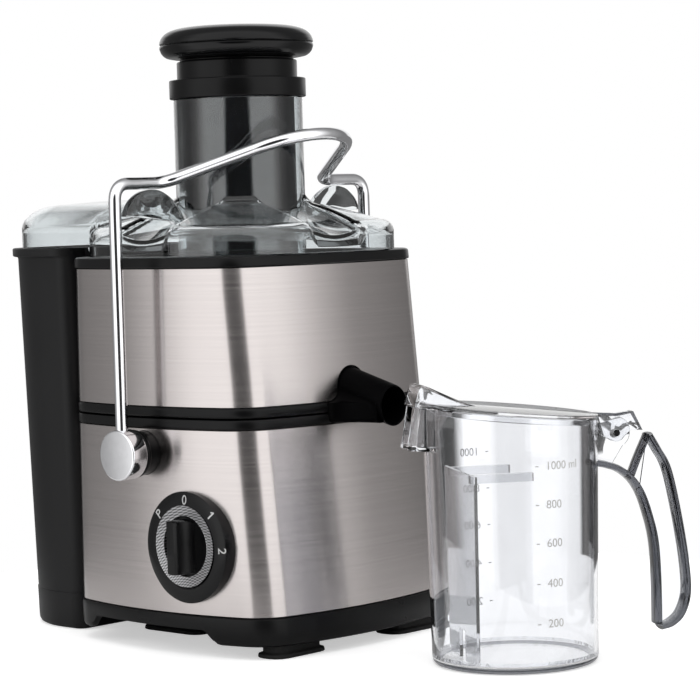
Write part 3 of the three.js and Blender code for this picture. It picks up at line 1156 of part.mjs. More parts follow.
function jug() {
  const floor = JUG_FLOOR;
  const tall = JUG_RIM_Z * 1.1;
  const outside = solid(turned([[0, 0], [JUG_BASE_RADIUS - 4, 0], [JUG_BASE_RADIUS - 1.4, 1.4], [JUG_BASE_RADIUS, 4.5],
    [jugRadius(tall), tall], [0, tall]], 36));
  const insideProfile = [[0, floor], [JUG_BASE_RADIUS - JUG_WALL - 3, floor], [JUG_BASE_RADIUS - JUG_WALL, floor + 3],
    [jugRadius(tall + 4) - JUG_WALL, tall + 4], [0, tall + 4]];
  const lip = lipSolid(0, tall);
  const lipRoom = lipSolid(JUG_WALL, tall + 4);
  const body = cut(join(outside, lip, handleSolid()), solid(turned(insideProfile, 36)), lipRoom, aboveRim(0));
  return geometryOf(cut(body, acrossJug(disc(HINGE_PIN_RADIUS + HINGE_GAP), HANDLE_WIDTH)));
}

/** Jug lid: sloping plate with a skirt, a hood over the pouring lip, hinge ears and a thumb piece. */
function jugLid() {
  const edge = jugRadius(JUG_RIM_Z);
  const skirt = edge - JUG_WALL - FIT - 0.3;
  const deep = 2 * JUG_LID_SKIRT;
  const disk = solid(rod(edge + 0.6, 0, JUG_LID_SHEET, 36));
  const collar = cut(solid(ring(skirt - JUG_LID_SHEET, skirt, -JUG_LID_SKIRT, 0.1, 36)),
    solid(box(skirt - 12, edge + deep, -edge, edge, -deep, 0)));
  const hood = cut(join(disk, collar, hoodSolid(0)), hoodSolid(JUG_LID_SHEET));
  const tilted = solid(geometryOf(hood).rotateY(rimSlope).translate(0, 0, JUG_RIM_Z + FIT));
  const gap = HANDLE_WEB / 2 + FIT;
  const wide = gap + EAR_WIDTH;
  const arcPoint = (degrees, radius) => [HINGE_U + radius * Math.cos(radians(degrees)),
    HINGE_Z + radius * Math.sin(radians(degrees))];
  const over = (u, lift) => [u, rimZ(u) + FIT + lift];
  const ear = shapeOf([over(edge - 4, 0), over(edge + 2, 0), arcPoint(200, 6), arcPoint(240, 5), arcPoint(280, 5),
    arcPoint(320, 7), arcPoint(0, THUMB_RADIUS), arcPoint(20, THUMB_RADIUS), arcPoint(40, THUMB_RADIUS),
    arcPoint(60, THUMB_RADIUS), arcPoint(78, THUMB_RADIUS - 1.2), over(edge - 4, JUG_LID_SHEET)]);
  const ears = [acrossJug(ear, wide), acrossJug(ear, gap)];
  const bridge = acrossJug(shapeOf([over(edge - 4, 0.2), over(HINGE_U - 6, 0.2), arcPoint(84, HINGE_BOSS + 1.6),
    arcPoint(70, THUMB_RADIUS - THUMB_DEPTH), arcPoint(70, THUMB_RADIUS), arcPoint(78, THUMB_RADIUS - 1.2),
    over(edge - 4, JUG_LID_SHEET)]), gap + 0.1);
  const rimRoom = solid(box(-2 * edge, 2 * edge, -2 * edge, 2 * edge, -edge, FIT).rotateY(rimSlope).translate(0, 0, JUG_RIM_Z));
  const wallRoom = cut(solid(rod(edge + 0.9, JUG_RIM_Z - 4 * deep, JUG_RIM_Z + 4 * deep, 36)), aboveRim(FIT));
  const thumb = cut(join(cut(ears[0], ears[1]), bridge), wallRoom);
  const body = cut(join(tilted, thumb), acrossJug(disc(HINGE_PIN_RADIUS + HINGE_GAP), HANDLE_WIDTH));
  return geometryOf(body);
}

/** Beak-shaped hood, drawn flat on the lid's plate; an inset gives its hollow. */
function hoodSolid(inset) {
  const half = LIP_WIDTH / 2 + 1 - inset;
  const low = inset ? -JUG_LID_SHEET : 0;
  const section = (u, rise, narrow) => {
    const top = Math.max(JUG_LID_SHEET + rise - inset, JUG_LID_SHEET / 4 - inset / 9);
    const shoulder = Math.max(top * 0.45, JUG_LID_SHEET / 5 - inset / 11);
    return [[-half, low], [half, low], [half, shoulder], [half * narrow, top], [-half * narrow, top], [-half, shoulder]]
      .map(([y, z]) => new THREE.Vector3(u, y, z));
  };
  return solid(loft([section(-HOOD_PEAK - 3 + inset, 0.2, 0.9), section(-HOOD_PEAK + inset, HOOD_RISE, 0.75),
    section(-HOOD_START - inset, 1.4, 0.5)]));
}

function hingePin() {
  const half = HANDLE_WEB / 2 + FIT + EAR_WIDTH;
  return geometryOf(acrossJug(disc(HINGE_PIN_RADIUS), half));
}

/** Froth separator: an upright plate across the jug with two top bars and a drain notch. */
function frothSeparator() {
  const floor = JUG_FLOOR + FIT;
  const depth = Math.abs(SEPARATOR_U) + SEPARATOR_SHEET / 2;
  const reach = (z, inset) => Math.sqrt((jugRadius(z) - JUG_WALL - inset) ** 2 - depth ** 2);
  const foot = reach(floor, FIT + 3.8);
  const low = reach(floor + 4, FIT + 0.4);
  const high = reach(SEPARATOR_TOP, FIT + 0.4);
  const outline = shapeOf([[-foot, floor], [foot, floor], [low, floor + 4], [high, SEPARATOR_TOP],
    [-high, SEPARATOR_TOP], [-low, floor + 4]]);
  const plate = solid(prism(outline, -SEPARATOR_SHEET / 2, SEPARATOR_SHEET / 2).rotateX(Math.PI / 2).rotateZ(Math.PI / 2)
    .translate(SEPARATOR_U, 0, 0));
  const bars = [-1, 1].map((side) => {
    const from = side > 0 ? high - 14 : -high + 9;
    return solid(box(SEPARATOR_U - 1, SEPARATOR_BAR_END, from, from + 5, SEPARATOR_TOP - SEPARATOR_BAR, SEPARATOR_TOP));
  });
  const notch = solid(box(SEPARATOR_U - 5, SEPARATOR_U + 5, -7, 7, floor - 1, floor + 18));
  return geometryOf(cut(join(plate, ...bars), notch));
}

// ---------------------------------------------------------------- assembly

const model = new THREE.Group();
const machine = new THREE.Group();
const jugGroup = new THREE.Group();
jugGroup.position.set(JUG_X, JUG_Y, 0);
jugGroup.rotation.z = radians(JUG_TURN_DEG);
model.add(machine, jugGroup);

function piece(parent, name, finish, geometry) {
  const mesh = new THREE.Mesh(sealed(geometry), new THREE.MeshStandardMaterial(finishes[finish]));
  mesh.name = name;
  parent.add(mesh);
  return mesh;
}

piece(machine, 'base_skirt', 'black', baseSkirt());
piece(machine, 'bottom_plate', 'matte', bottomPlate());
FEET.forEach((foot, i) => piece(machine, `foot_${i + 1}`, 'rubber', footPad(foot)));
piece(machine, 'motor_housing', 'black', motorHousing());
piece(machine, 'lower_steel_band', 'steel', lowerSteelBand());
piece(machine, 'bowl_shell', 'black', bowlShell());
piece(machine, 'top_rim', 'black', topRim());
piece(machine, 'juice_bowl', 'black', juiceBowl());
piece(machine, 'juice_spout', 'black', juiceSpout());
piece(machine, 'upper_steel_band', 'steel', upperSteelBand());
piece(machine, 'lid', 'smoke', lid());
piece(machine, 'feed_tube', 'smoke', feedTube());

piece(machine, 'stator', 'iron', stator());
piece(machine, 'upper_end_frame', 'alloy', upperEndFrame());
piece(machine, 'lower_end_frame', 'alloy', lowerEndFrame());
piece(machine, 'upper_bearing', 'alloy', bearing(UPPER_BEARING_Z));
piece(machine, 'lower_bearing', 'alloy', bearing(LOWER_BEARING_Z));
piece(machine, 'motor_shaft', 'alloy', motorShaft());
piece(machine, 'armature', 'copper', armature());
piece(machine, 'cooling_fan', 'white', coolingFan());
piece(machine, 'drive_coupling', 'matte', driveCoupling());
piece(machine, 'basket_floor', 'steel', basketFloor());
piece(machine, 'filter_basket', 'steel', filterBasket());
piece(machine, 'basket_rim', 'matte', basketRim());
piece(machine, 'grater_disc', 'steel', graterDisc());
piece(machine, 'basket_nut', 'chrome', basketNut());

piece(machine, 'arm_rod', 'chrome', armRod());
[['near', -1], ['far', 1]].forEach(([name, side]) => {
  [['arm_cap', 'chrome', armCap(side)], ['arm_hub', 'black', armHub(side)],
    ['pivot_boss', 'black', towards(side, pivotBoss())], ['pivot_pin', 'alloy', towards(side, pivotPin())],
  ].forEach(([part, finish, shape]) => {
    piece(machine, `${part}_${name}`, finish, shape).position.set(PIVOT_X, 0, PIVOT_Z);
  });
});

[['dial_bezel', 'black', dialBezel()], ['dial_ring', 'silver', dialRing()], ['dial_knob', 'black', dialKnob()],
  ['switch_body', 'white', switchBody()], ['switch_stem', 'matte', switchStem()]].forEach(([name, finish, shape]) => {
  piece(machine, name, finish, facingFront(shape)).position.set(DIAL_X, 0, DIAL_Z);
});

piece(machine, 'pusher_body', 'pusher', pusherBody());
piece(machine, 'pusher_collar', 'black', pusherCollar());
piece(machine, 'pusher_cap_base', 'black', pusherCapBase());
piece(machine, 'pusher_cap_top', 'black', pusherCapTop());
piece(machine, 'pulp_container', 'matte', pulpContainer());

piece(jugGroup, 'jug', 'clear', jug());
piece(jugGroup, 'jug_lid', 'clear', jugLid());
piece(jugGroup, 'jug_hinge_pin', 'matte', hingePin());
piece(jugGroup, 'froth_separator', 'clear', frothSeparator());

// Origin: middle of the whole object's outline, on the counter
model.updateMatrixWorld(true);
const bounds = new THREE.Box3().setFromObject(model, true);
model.position.x = -(bounds.min.x + bounds.max.x) / 2;

export default model;
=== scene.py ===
"""Looks of the centrifugal juicer: visible pieces, finishes, studio and camera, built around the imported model."""

from __future__ import annotations

import json
import logging
import math
from dataclasses import dataclass, field
from enum import Enum
from typing import Callable, Sequence

import bmesh
import bpy
from mathutils import Matrix, Vector

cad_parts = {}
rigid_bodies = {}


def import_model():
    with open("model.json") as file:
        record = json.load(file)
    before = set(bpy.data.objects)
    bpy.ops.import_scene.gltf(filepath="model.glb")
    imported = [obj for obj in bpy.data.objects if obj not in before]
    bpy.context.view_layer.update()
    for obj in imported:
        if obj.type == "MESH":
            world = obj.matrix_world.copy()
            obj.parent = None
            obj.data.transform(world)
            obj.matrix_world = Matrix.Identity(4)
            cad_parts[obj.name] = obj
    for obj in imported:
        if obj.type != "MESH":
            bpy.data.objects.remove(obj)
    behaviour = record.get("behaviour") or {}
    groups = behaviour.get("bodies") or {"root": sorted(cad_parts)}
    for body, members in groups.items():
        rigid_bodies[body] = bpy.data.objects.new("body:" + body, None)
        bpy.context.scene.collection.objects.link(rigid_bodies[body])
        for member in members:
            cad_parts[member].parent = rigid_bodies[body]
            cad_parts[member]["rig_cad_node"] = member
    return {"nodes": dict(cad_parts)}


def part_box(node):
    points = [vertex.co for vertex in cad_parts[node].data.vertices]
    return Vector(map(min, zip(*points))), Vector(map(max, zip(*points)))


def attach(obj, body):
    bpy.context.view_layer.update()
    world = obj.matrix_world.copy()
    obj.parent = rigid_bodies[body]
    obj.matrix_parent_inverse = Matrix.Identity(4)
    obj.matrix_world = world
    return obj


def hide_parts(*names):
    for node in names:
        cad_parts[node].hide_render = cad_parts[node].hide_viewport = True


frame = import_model()

LOG = logging.getLogger("juicer")
MM = 0.001
Colour = tuple[float, float, float]
Point = tuple[float, float, float]
Flat = tuple[float, float]
Ring = list[Vector]
WHITE: Colour = (1.0, 1.0, 1.0)
EVEN: Point = (1.0, 1.0, 1.0)
PIVOT: Flat = (4.0, 127.0)
DIAL_AXIS: Flat = (40.0, 69.5)
SPOUT_RADIUS = 12.6
SPOUT_SLOPE = 16.0
SPOUT_MOUTH: Flat = (131.0, 153.6)
TUBE_RADIUS = 42.5


class Side(Enum):
    """The near or the far side of the machine or of the jug."""

    NEAR = 1
    FAR = -1

    @property
    def turn(self) -> float:
        """Returns the turn about the vertical that brings a piece to this side, in degrees."""
        return 90.0 - 90.0 * self.value


def faded(colour: Colour, share: float) -> Colour:
    """Scales a colour."""
    return tuple(share * part for part in colour)


def greys(*stops: Flat) -> list[tuple[float, Colour]]:
    """Turns pairs of position and brightness into stops of a colour ramp."""
    return [(position, (value,) * 3) for position, value in stops]


# ------------------------------------------------------------------ node graphs


class Nodes:
    """A thin wrapper that adds and links shader nodes."""

    def __init__(self, tree: bpy.types.NodeTree) -> None:
        """Keeps the tree and empties it."""
        self.tree = tree
        tree.nodes.clear()

    def add(self, kind: str, inputs: dict[str | int, object] | None = None, **props: object) -> bpy.types.Node:
        """Adds one node.

        Args:
            kind: Class name of the node.
            inputs: Socket values, or sockets to link from, by socket name or index.
            props: Attributes to set on the node.

        Returns:
            The new node.
        """
        node = self.tree.nodes.new(kind)
        for key, value in props.items():
            setattr(node, key, value)
        for key, value in (inputs or {}).items():
            self.feed(node.inputs[key], value)
        return node

    def feed(self, socket: bpy.types.NodeSocket, value: object) -> None:
        """Links a socket, or sets its constant.

        Args:
            socket: The input to fill.
            value: Another socket, or a plain value.
        """
        if isinstance(value, bpy.types.NodeSocket):
            self.tree.links.new(value, socket)
        elif isinstance(value, tuple) and len(value) == 3 and len(socket.default_value) == 4:
            socket.default_value = (*value, 1.0)
        else:
            socket.default_value = value

    def ramp(self, source: bpy.types.NodeSocket, stops: Sequence[tuple[float, Colour]]) -> bpy.types.NodeSocket:
        """Maps a value to colours.

        Args:
            source: The value.
            stops: Positions with their colours, lowest first.

        Returns:
            The colour output.
        """
        node = self.add("ShaderNodeValToRGB", {"Fac": source})
        while len(node.color_ramp.elements) < len(stops):
            node.color_ramp.elements.new(0.5)
        for element, (position, colour) in zip(node.color_ramp.elements, stops):
            element.position = position
            element.color = (*colour, 1.0)
        return node.outputs["Color"]

    def mix(self, share: object, first: object, second: object) -> bpy.types.NodeSocket:
        """Mixes two colours."""
        return self.add("ShaderNodeMix", {0: share, 6: first, 7: second}, data_type="RGBA").outputs[2]

    def math(self, operation: str, a: object, b: object = 0.0, c: object = 0.0) -> bpy.types.NodeSocket:
        """Adds a maths node and returns its output."""
        return self.add("ShaderNodeMath", {0: a, 1: b, 2: c}, operation=operation).outputs[0]

    def step(self, value: object, start: float, end: float) -> bpy.types.NodeSocket:
        """Rises smoothly from 0 to 1 between two values of the input; they may run downwards.

        Args:
            value: The input.
            start: Input that gives 0.
            end: Input that gives 1.

        Returns:
            The risen value.
        """
        node = self.add("ShaderNodeMapRange", {"Value": value, "From Min": start, "From Max": end},
                        interpolation_type="SMOOTHSTEP")
        return node.outputs[0]

    def noise(self, stretch: Point, scale: float, detail: float = 4.0) -> bpy.types.NodeSocket:
        """Noise in the piece's own space.

        Args:
            stretch: Scale along each axis before sampling.
            scale: Frequency in cycles per metre along an unstretched axis.
            detail: Octaves.

        Returns:
            The noise value.
        """
        place = self.add("ShaderNodeTexCoord").outputs["Object"]
        scaled = self.add("ShaderNodeMapping", {"Vector": place, "Scale": stretch}).outputs[0]
        node = self.add("ShaderNodeTexNoise", {"Vector": scaled, "Scale": scale, "Detail": detail})
        return node.outputs["Fac"]

    def bump(self, height: bpy.types.NodeSocket, strength: float, distance: float) -> bpy.types.NodeSocket:
        """Bump from a height value."""
        node = self.add("ShaderNodeBump", {"Height": height, "Strength": strength, "Distance": distance})
        return node.outputs["Normal"]

    def range(self, value: bpy.types.NodeSocket, low: float, high: float) -> bpy.types.NodeSocket:
        """Spreads a 0-to-1 value over a range.

        Args:
            value: The input, most of it between 0.3 and 0.7.
            low: Result at 0.3.
            high: Result at 0.7.

        Returns:
            The result.
        """
        node = self.add("ShaderNodeMapRange", {"Value": value, "To Min": low, "To Max": high})
        node.inputs["From Min"].default_value = 0.3
        node.inputs["From Max"].default_value = 0.7
        return node.outputs[0]

    def principled(self, inputs: dict[str, object]) -> None:
        """Adds a principled shader and sends it to the material's output."""
        self.surface(self.add("ShaderNodeBsdfPrincipled", inputs).outputs[0])

    def surface(self, shader: bpy.types.NodeSocket) -> None:
        """Sends a shader to the material's output."""
        self.add("ShaderNodeOutputMaterial", {"Surface": shader})


# ------------------------------------------------------------------ finishes


@dataclass(frozen=True)
class Finish:
    """A named surface finish.

    Attributes:
        name: Material name.
        slot: Slot of the record that it belongs to; not used.
    """

    name: str
    slot: str

    def material(self) -> bpy.types.Material:
        """Finds the material, or makes it on first use.

        Returns:
            The material.
        """
        found = bpy.data.materials.get(self.name)
        if found:
            return found
        made = bpy.data.materials.new(self.name)
        made.use_nodes = True
        self.paint(Nodes(made.node_tree))
        return made

    def paint(self, nodes: Nodes) -> None:
        """Builds the shader; each kind of finish has its own."""
        raise NotImplementedError

    def dress(self, piece: bpy.types.Object) -> bpy.types.Object:
        """Puts the finish on a piece.

        Args:
            piece: The object.

        Returns:
            The same object.
        """
        piece.data.materials.clear()
        piece.data.materials.append(self.material())
        return piece


@dataclass(frozen=True)
class BrushedSteel(Finish):
    """Stainless sheet with a fine grain running round the housing.

    Attributes:
        tint: Colour of the sheet.
        grain: Frequency of the grain.
        roughness: Middle roughness.
    """

    tint: Colour = (0.56, 0.52, 0.51)
    grain: float = 3600.0
    roughness: float = 0.24

    def paint(self, nodes: Nodes) -> None:
        """Long level streaks in colour, gloss and bump, with highlights drawn out upwards.

        Args:
            nodes: Nodes of the new material.
        """
        fine = nodes.noise((0.002, 0.002, 1.0), self.grain, 2.0)
        broad = nodes.noise((0.006, 0.006, 1.0), self.grain / 5.0, 3.0)
        both = nodes.math("MULTIPLY_ADD", fine, 0.6, nodes.math("MULTIPLY", broad, 0.4))
        low = faded(self.tint, 0.93)
        tangent = nodes.add("ShaderNodeTangent", direction_type="RADIAL", axis="Z")
        nodes.principled({
            "Base Color": nodes.ramp(both, [(0.35, low), (0.65, self.tint)]), "Metallic": 1.0,
            "Roughness": nodes.range(both, self.roughness - 0.03, self.roughness + 0.03),
            "Anisotropic": 0.8, "Anisotropic Rotation": 0.25, "Tangent": tangent.outputs[0],
            "Normal": nodes.bump(both, 0.12, 0.00003),
        })


@dataclass(frozen=True)
class Polished(Finish):
    """Bright metal with faint wear.

    Attributes:
        tint: Colour of the metal.
        roughness: Least roughness.
    """

    tint: Colour = (0.82, 0.82, 0.84)
    roughness: float = 0.06

    def paint(self, nodes: Nodes) -> None:
        """A near mirror whose gloss varies slightly.

        Args:
            nodes: Nodes of the new material.
        """
        haze = nodes.noise(EVEN, 180.0)
        nodes.principled({
            "Base Color": nodes.ramp(haze, [(0.3, faded(self.tint, 0.95)), (0.7, self.tint)]),
            "Metallic": 1.0, "Roughness": nodes.range(haze, self.roughness, self.roughness + 0.05),
        })


@dataclass(frozen=True)
class Knurled(Polished):
    """Grey metal with fine ribs standing round a centre, drawn in its colour as painted shade and painted highlight.

    Attributes:
        ribs: Number of ribs.
        centre: X and Z of the centre, in metres from the middle of the frame.
        rows: Frequency of the rows.
    """

    ribs: int = 66
    centre: Flat = (0.0, 0.0)
    rows: float = 3600.0

    def paint(self, nodes: Nodes) -> None:
        """Ribs of painted highlight and painted shade in two rows, under a soft gloss.

        Args:
            nodes: Nodes of the new material.
        """
        split = nodes.add("ShaderNodeSeparateXYZ", {0: nodes.add("ShaderNodeTexCoord").outputs["Object"]})
        x = nodes.math("SUBTRACT", split.outputs["X"], self.centre[0])
        z = nodes.math("SUBTRACT", split.outputs["Z"], self.centre[1])
        angle = nodes.math("MULTIPLY", nodes.math("ARCTAN2", x, z), float(self.ribs))
        out = nodes.math("SQRT", nodes.math("ADD", nodes.math("MULTIPLY", x, x), nodes.math("MULTIPLY", z, z)))
        row = nodes.math("SINE", nodes.math("MULTIPLY", out, self.rows), 0.0)
        painted_rib_light = nodes.math("MULTIPLY_ADD", nodes.math("MULTIPLY", nodes.math("SINE", angle, 0.0), row), 0.5, 0.5)
        # Dark and bright rib colours: painted shade and painted highlight on the ribs.
        dark = faded(self.tint, 0.4)
        light = faded(self.tint, 2.2)
        nodes.principled({
            "Base Color": nodes.ramp(painted_rib_light, [(0.25, dark), (0.75, light)]),
            "Metallic": 1.0, "Roughness": nodes.range(painted_rib_light, self.roughness, self.roughness + 0.1),
        })


@dataclass(frozen=True)
class Moulded(Finish):
    """Opaque moulded plastic or rubber with a faint moulding grain.

    Attributes:
        tint: Colour.
        roughness: Middle roughness.
        grain: Depth of the moulding grain, in metres.
        grain_scale: Frequency of the grain.
        shine: Strength of the gloss.
    """

    tint: Colour = (0.02, 0.02, 0.022)
    roughness: float = 0.35
    grain: float = 0.00002
    grain_scale: float = 2600.0
    shine: float = 0.3

    def paint(self, nodes: Nodes) -> None:
        """Even colour with mottled gloss and a fine bump.

        Args:
            nodes: Nodes of the new material.
        """
        grain = nodes.noise(EVEN, self.grain_scale, 2.0)
        cloud = nodes.noise(EVEN, 28.0, 3.0)
        dark = faded(self.tint, 0.8)
        nodes.principled({
            "Base Color": nodes.ramp(cloud, [(0.3, dark), (0.7, self.tint)]),
            "Roughness": nodes.range(cloud, self.roughness - 0.04, self.roughness + 0.04),
            "Normal": nodes.bump(grain, 0.4, self.grain), "Specular IOR Level": self.shine,
        })


@dataclass(frozen=True)
class Transparent(Finish):
    """Clear or smoked plastic wall.

    Attributes:
        tint: Colour of what passes through.
        roughness: Roughness.
        index: Index of refraction.
    """

    tint: Colour = (0.7, 0.76, 0.74)
    roughness: float = 0.02
    index: float = 1.56

    def paint(self, nodes: Nodes) -> None:
        """Thin transmission with a barely uneven colour.

        Args:
            nodes: Nodes of the new material.
        """
        cloud = nodes.noise(EVEN, 30.0, 2.0)
        dark = faded(self.tint, 0.96)
        nodes.principled({
            "Base Color": nodes.ramp(cloud, [(0.3, dark), (0.7, self.tint)]),
            "Transmission Weight": 1.0, "Roughness": self.roughness, "IOR": self.index,
        })


STAINLESS = BrushedSteel("brushed stainless", "stainless_sheet")
STAMPED = BrushedSteel("stamped steel", "stamped_steel", tint=(0.58, 0.58, 0.59), roughness=0.36)
GROUND = BrushedSteel("ground steel", "bearing_steel", tint=(0.5, 0.51, 0.52), roughness=0.25)
CHROME = Polished("arm chrome", "polished_steel")
BLACK = Moulded("satin black plastic", "black_plastic", tint=(0.004, 0.004, 0.0043), roughness=0.3, shine=0.17)
GLOSS = Moulded("gloss black plastic", "black_plastic", tint=(0.004, 0.004, 0.0045), roughness=0.16, shine=0.22)
MATTE = Moulded("matt black plastic", "matte_black_plastic", tint=(0.009, 0.009, 0.0095), roughness=0.46, shine=0.2,
                grain=0.00004, grain_scale=1500.0)
RUBBER = Moulded("foot rubber", "foot_rubber", tint=(0.012, 0.012, 0.012), roughness=0.75)
SILVER = Knurled("knurled grey metal", "silver_paint", tint=(0.24, 0.24, 0.245), roughness=0.3)
IRON = Moulded("varnished laminations", "motor_iron", tint=(0.12, 0.12, 0.13), roughness=0.5)
COPPER = Moulded("enamelled copper", "winding_copper", tint=(0.42, 0.18, 0.08), roughness=0.4)
CASTING = Moulded("cast alloy", "die_cast", tint=(0.4, 0.41, 0.42), roughness=0.45, grain=0.0001)
NYLON = Moulded("natural nylon", "fan_nylon", tint=(0.6, 0.58, 0.52), roughness=0.5)
SMOKE = Transparent("smoked clear lid", "smoked_clear", tint=(0.83, 0.86, 0.87))
DARK_SMOKE = Moulded("dark smoked pusher", "dark_smoke", tint=(0.006, 0.007, 0.01), roughness=0.1, shine=0.7)
CLEAR = Transparent("clear jug plastic", "clear_plastic", tint=(0.955, 0.962, 0.98))
# Dark tint for clear plastic at the jug's foot, rim, sheet edges, handle ribs and the lid's ear edges: painted shade.
SHADED_CLEAR = Transparent("clear plastic, painted shade", "clear_plastic", tint=(0.11, 0.115, 0.13), index=1.36)
# Grey tint for clear plastic seen edge on: painted shade.
EDGE_SHADED_CLEAR = Transparent("clear plastic, edge on", "clear_plastic", tint=(0.68, 0.69, 0.71))
# A darker, less glossy copy of the black plastic for the spout and its fairing: painted shade.
SPOUT_PAINTED_SHADE_BLACK = Moulded("deep black plastic", "black_plastic", tint=(0.0015, 0.0015, 0.0018), roughness=0.34, shine=0.02)
INK = Moulded("white dial print", "", tint=(0.75, 0.75, 0.75), roughness=0.5)
SCALE_INK = Moulded("grey jug print", "", tint=(0.62, 0.62, 0.6), roughness=0.5)

FINISHED_NODES: dict[Finish, str] = {
    BLACK: "base_skirt motor_housing juice_bowl bowl_shell top_rim juice_spout arm_hub_near arm_hub_far "
           "pivot_boss_near pivot_boss_far dial_bezel dial_knob pusher_collar pusher_cap_base pusher_cap_top "
           "jug_hinge_pin",
    MATTE: "bottom_plate drive_coupling basket_rim switch_stem pulp_container",
    RUBBER: "foot_1 foot_2 foot_3 foot_4",
    STAINLESS: "lower_steel_band upper_steel_band",
    SMOKE: "lid feed_tube",
    IRON: "stator",
    CASTING: "upper_end_frame lower_end_frame",
    GROUND: "upper_bearing lower_bearing motor_shaft pivot_pin_near pivot_pin_far",
    COPPER: "armature",
    NYLON: "cooling_fan switch_body",
    STAMPED: "filter_basket basket_floor grater_disc",
    CHROME: "basket_nut arm_rod arm_cap_near arm_cap_far",
    SILVER: "dial_ring",
    DARK_SMOKE: "pusher_body",
    CLEAR: "jug jug_lid",
    EDGE_SHADED_CLEAR: "froth_separator",
}
NODE_FINISH = {node: finish for finish, nodes in FINISHED_NODES.items() for node in nodes.split()}


# ------------------------------------------------------------------ shape tools


@dataclass(frozen=True)
class Place:
    """Where a piece is drawn: local millimetres to the model's metres.

    Attributes:
        origin: Local origin in metres.
        turn: Turn about the vertical, in degrees.
        facing: Whether local +Z points to -Y instead of up.
    """

    origin: Vector
    turn: float = 0.0
    facing: bool = False

    def matrix(self) -> Matrix:
        """Works out the way from local millimetres to metres.

        Returns:
            The matrix.
        """
        lay = Matrix.Rotation(math.radians(90), 4, "X") if self.facing else Matrix.Identity(4)
        turned = Matrix.Rotation(math.radians(self.turn), 4, "Z") @ lay
        return Matrix.Translation(self.origin) @ turned @ Matrix.Scale(MM, 4)

    def moved(self, x: float, y: float, z: float, turn: float = 0.0, facing: bool = False) -> "Place":
        """Returns a place moved by local millimetres and turned further."""
        return Place(self.matrix() @ Vector((x, y, z)), self.turn + turn, facing)


@dataclass
class Draft:
    """Points and faces of a piece that is being drawn, in local millimetres.

    Attributes:
        points: Corners so far.
        faces: Faces so far, as indices of corners.
    """

    points: list[Vector] = field(default_factory=list)
    faces: list[tuple[int, ...]] = field(default_factory=list)

    def skin(self, rings: Sequence[Ring], closed: bool = False) -> "Draft":
        """Joins rings of equal point count with quads.

        Args:
            rings: The rings, in order.
            closed: Whether the last ring meets the first; otherwise both ends are capped.

        Returns:
            The draft itself.
        """
        count, base = len(rings[0]), len(self.points)
        for ring in rings:
            self.points.extend(Vector(point) for point in ring)
        spans = len(rings) if closed else len(rings) - 1
        for i in range(spans):
            low, high = base + i * count, base + ((i + 1) % len(rings)) * count
            for j in range(count):
                k = (j + 1) % count
                self.faces.append((low + j, low + k, high + k, high + j))
        if not closed:
            last = base + (len(rings) - 1) * count
            self.faces.append(tuple(range(base + count - 1, base - 1, -1)))
            self.faces.append(tuple(range(last, last + count)))
        return self

    def turned(self, profile: Sequence[Flat], steps: int = 96) -> "Draft":
        """Turns a closed profile of radius and height pairs about local Z.

        Args:
            profile: The closed outline; points on the axis are allowed at its two ends.
            steps: Points around.

        Returns:
            The draft itself.
        """
        solid = profile[0][0] < 1e-6 and profile[-1][0] < 1e-6
        outline = profile[1:-1] if solid else profile
        rings = [circle(radius, z, steps) for radius, z in outline]
        return self.skin(rings, closed=not solid)

    def swept(self, path: Sequence[Vector], section: Sequence[Flat], up: Vector = Vector((0, 1, 0))) -> "Draft":
        """Sweeps a section along a path, keeping its second axis near a fixed direction.

        Args:
            path: The centre line.
            section: Outline across the path: first number sideways, second along `up`.
            up: Direction that the section's second axis follows.

        Returns:
            The draft itself.
        """
        rings = []
        for i, point in enumerate(path):
            way = (path[min(i + 1, len(path) - 1)] - path[max(i - 1, 0)]).normalized()
            side = way.cross(up).normalized()
            lift = side.cross(way).normalized()
            rings.append([point + side * a + lift * b for a, b in section])
        return self.skin(rings)

    def slab(self, outline: Sequence[Flat], low: float, high: float, edge: float = 0.0) -> "Draft":
        """A straight plate of an outline in local XY, with bevelled rims.

        Args:
            outline: The outline, without a repeated end point.
            low: Lower height.
            high: Upper height.
            edge: Size of the bevel.

        Returns:
            The draft itself.
        """
        if not edge:
            return self.skin([[Vector((x, y, z)) for x, y in outline] for z in (low, high)])
        small = offset_outline(outline, -edge)
        tiny = offset_outline(outline, -edge * 0.3)
        stack = ((small, low), (tiny, low + edge * 0.3), (outline, low + edge), (outline, high - edge),
                 (tiny, high - edge * 0.3), (small, high))
        return self.skin([[Vector((x, y, z)) for x, y in line] for line, z in stack])

    def piece(self, name: str, place: Place | Matrix, sharp: float = 32.0) -> bpy.types.Object:
        """Makes the object, smooth shaded with sharp creases kept.

        Args:
            name: Object name.
            place: Where it stands, or the matrix from local millimetres to metres.
            sharp: Crease angle in degrees.

        Returns:
            The new object.
        """
        mesh = bpy.data.meshes.new(name)
        matrix = place.matrix() if isinstance(place, Place) else place
        mesh.from_pydata([tuple(matrix @ point) for point in self.points], [], self.faces)
        tidy = bmesh.new()
        tidy.from_mesh(mesh)
        bmesh.ops.remove_doubles(tidy, verts=tidy.verts, dist=0.00001)
        bmesh.ops.recalc_face_normals(tidy, faces=tidy.faces)
        tidy.to_mesh(mesh)
        tidy.free()
        shade(mesh, sharp)
        return placed(name, mesh)


def placed(name: str, data: bpy.types.ID) -> bpy.types.Object:
    """Makes an object and links it to the scene.

    Args:
        name: Object name.
        data: What it shows.

    Returns:
        The object.
    """
    made = bpy.data.objects.new(name, data)
    bpy.context.scene.collection.objects.link(made)
    return made


def shade(mesh: bpy.types.Mesh, sharp: float) -> None:
    """Smooth shading with creases above an angle."""
    mesh.polygons.foreach_set("use_smooth", [True] * len(mesh.polygons))
    mesh.set_sharp_from_angle(angle=math.radians(sharp))


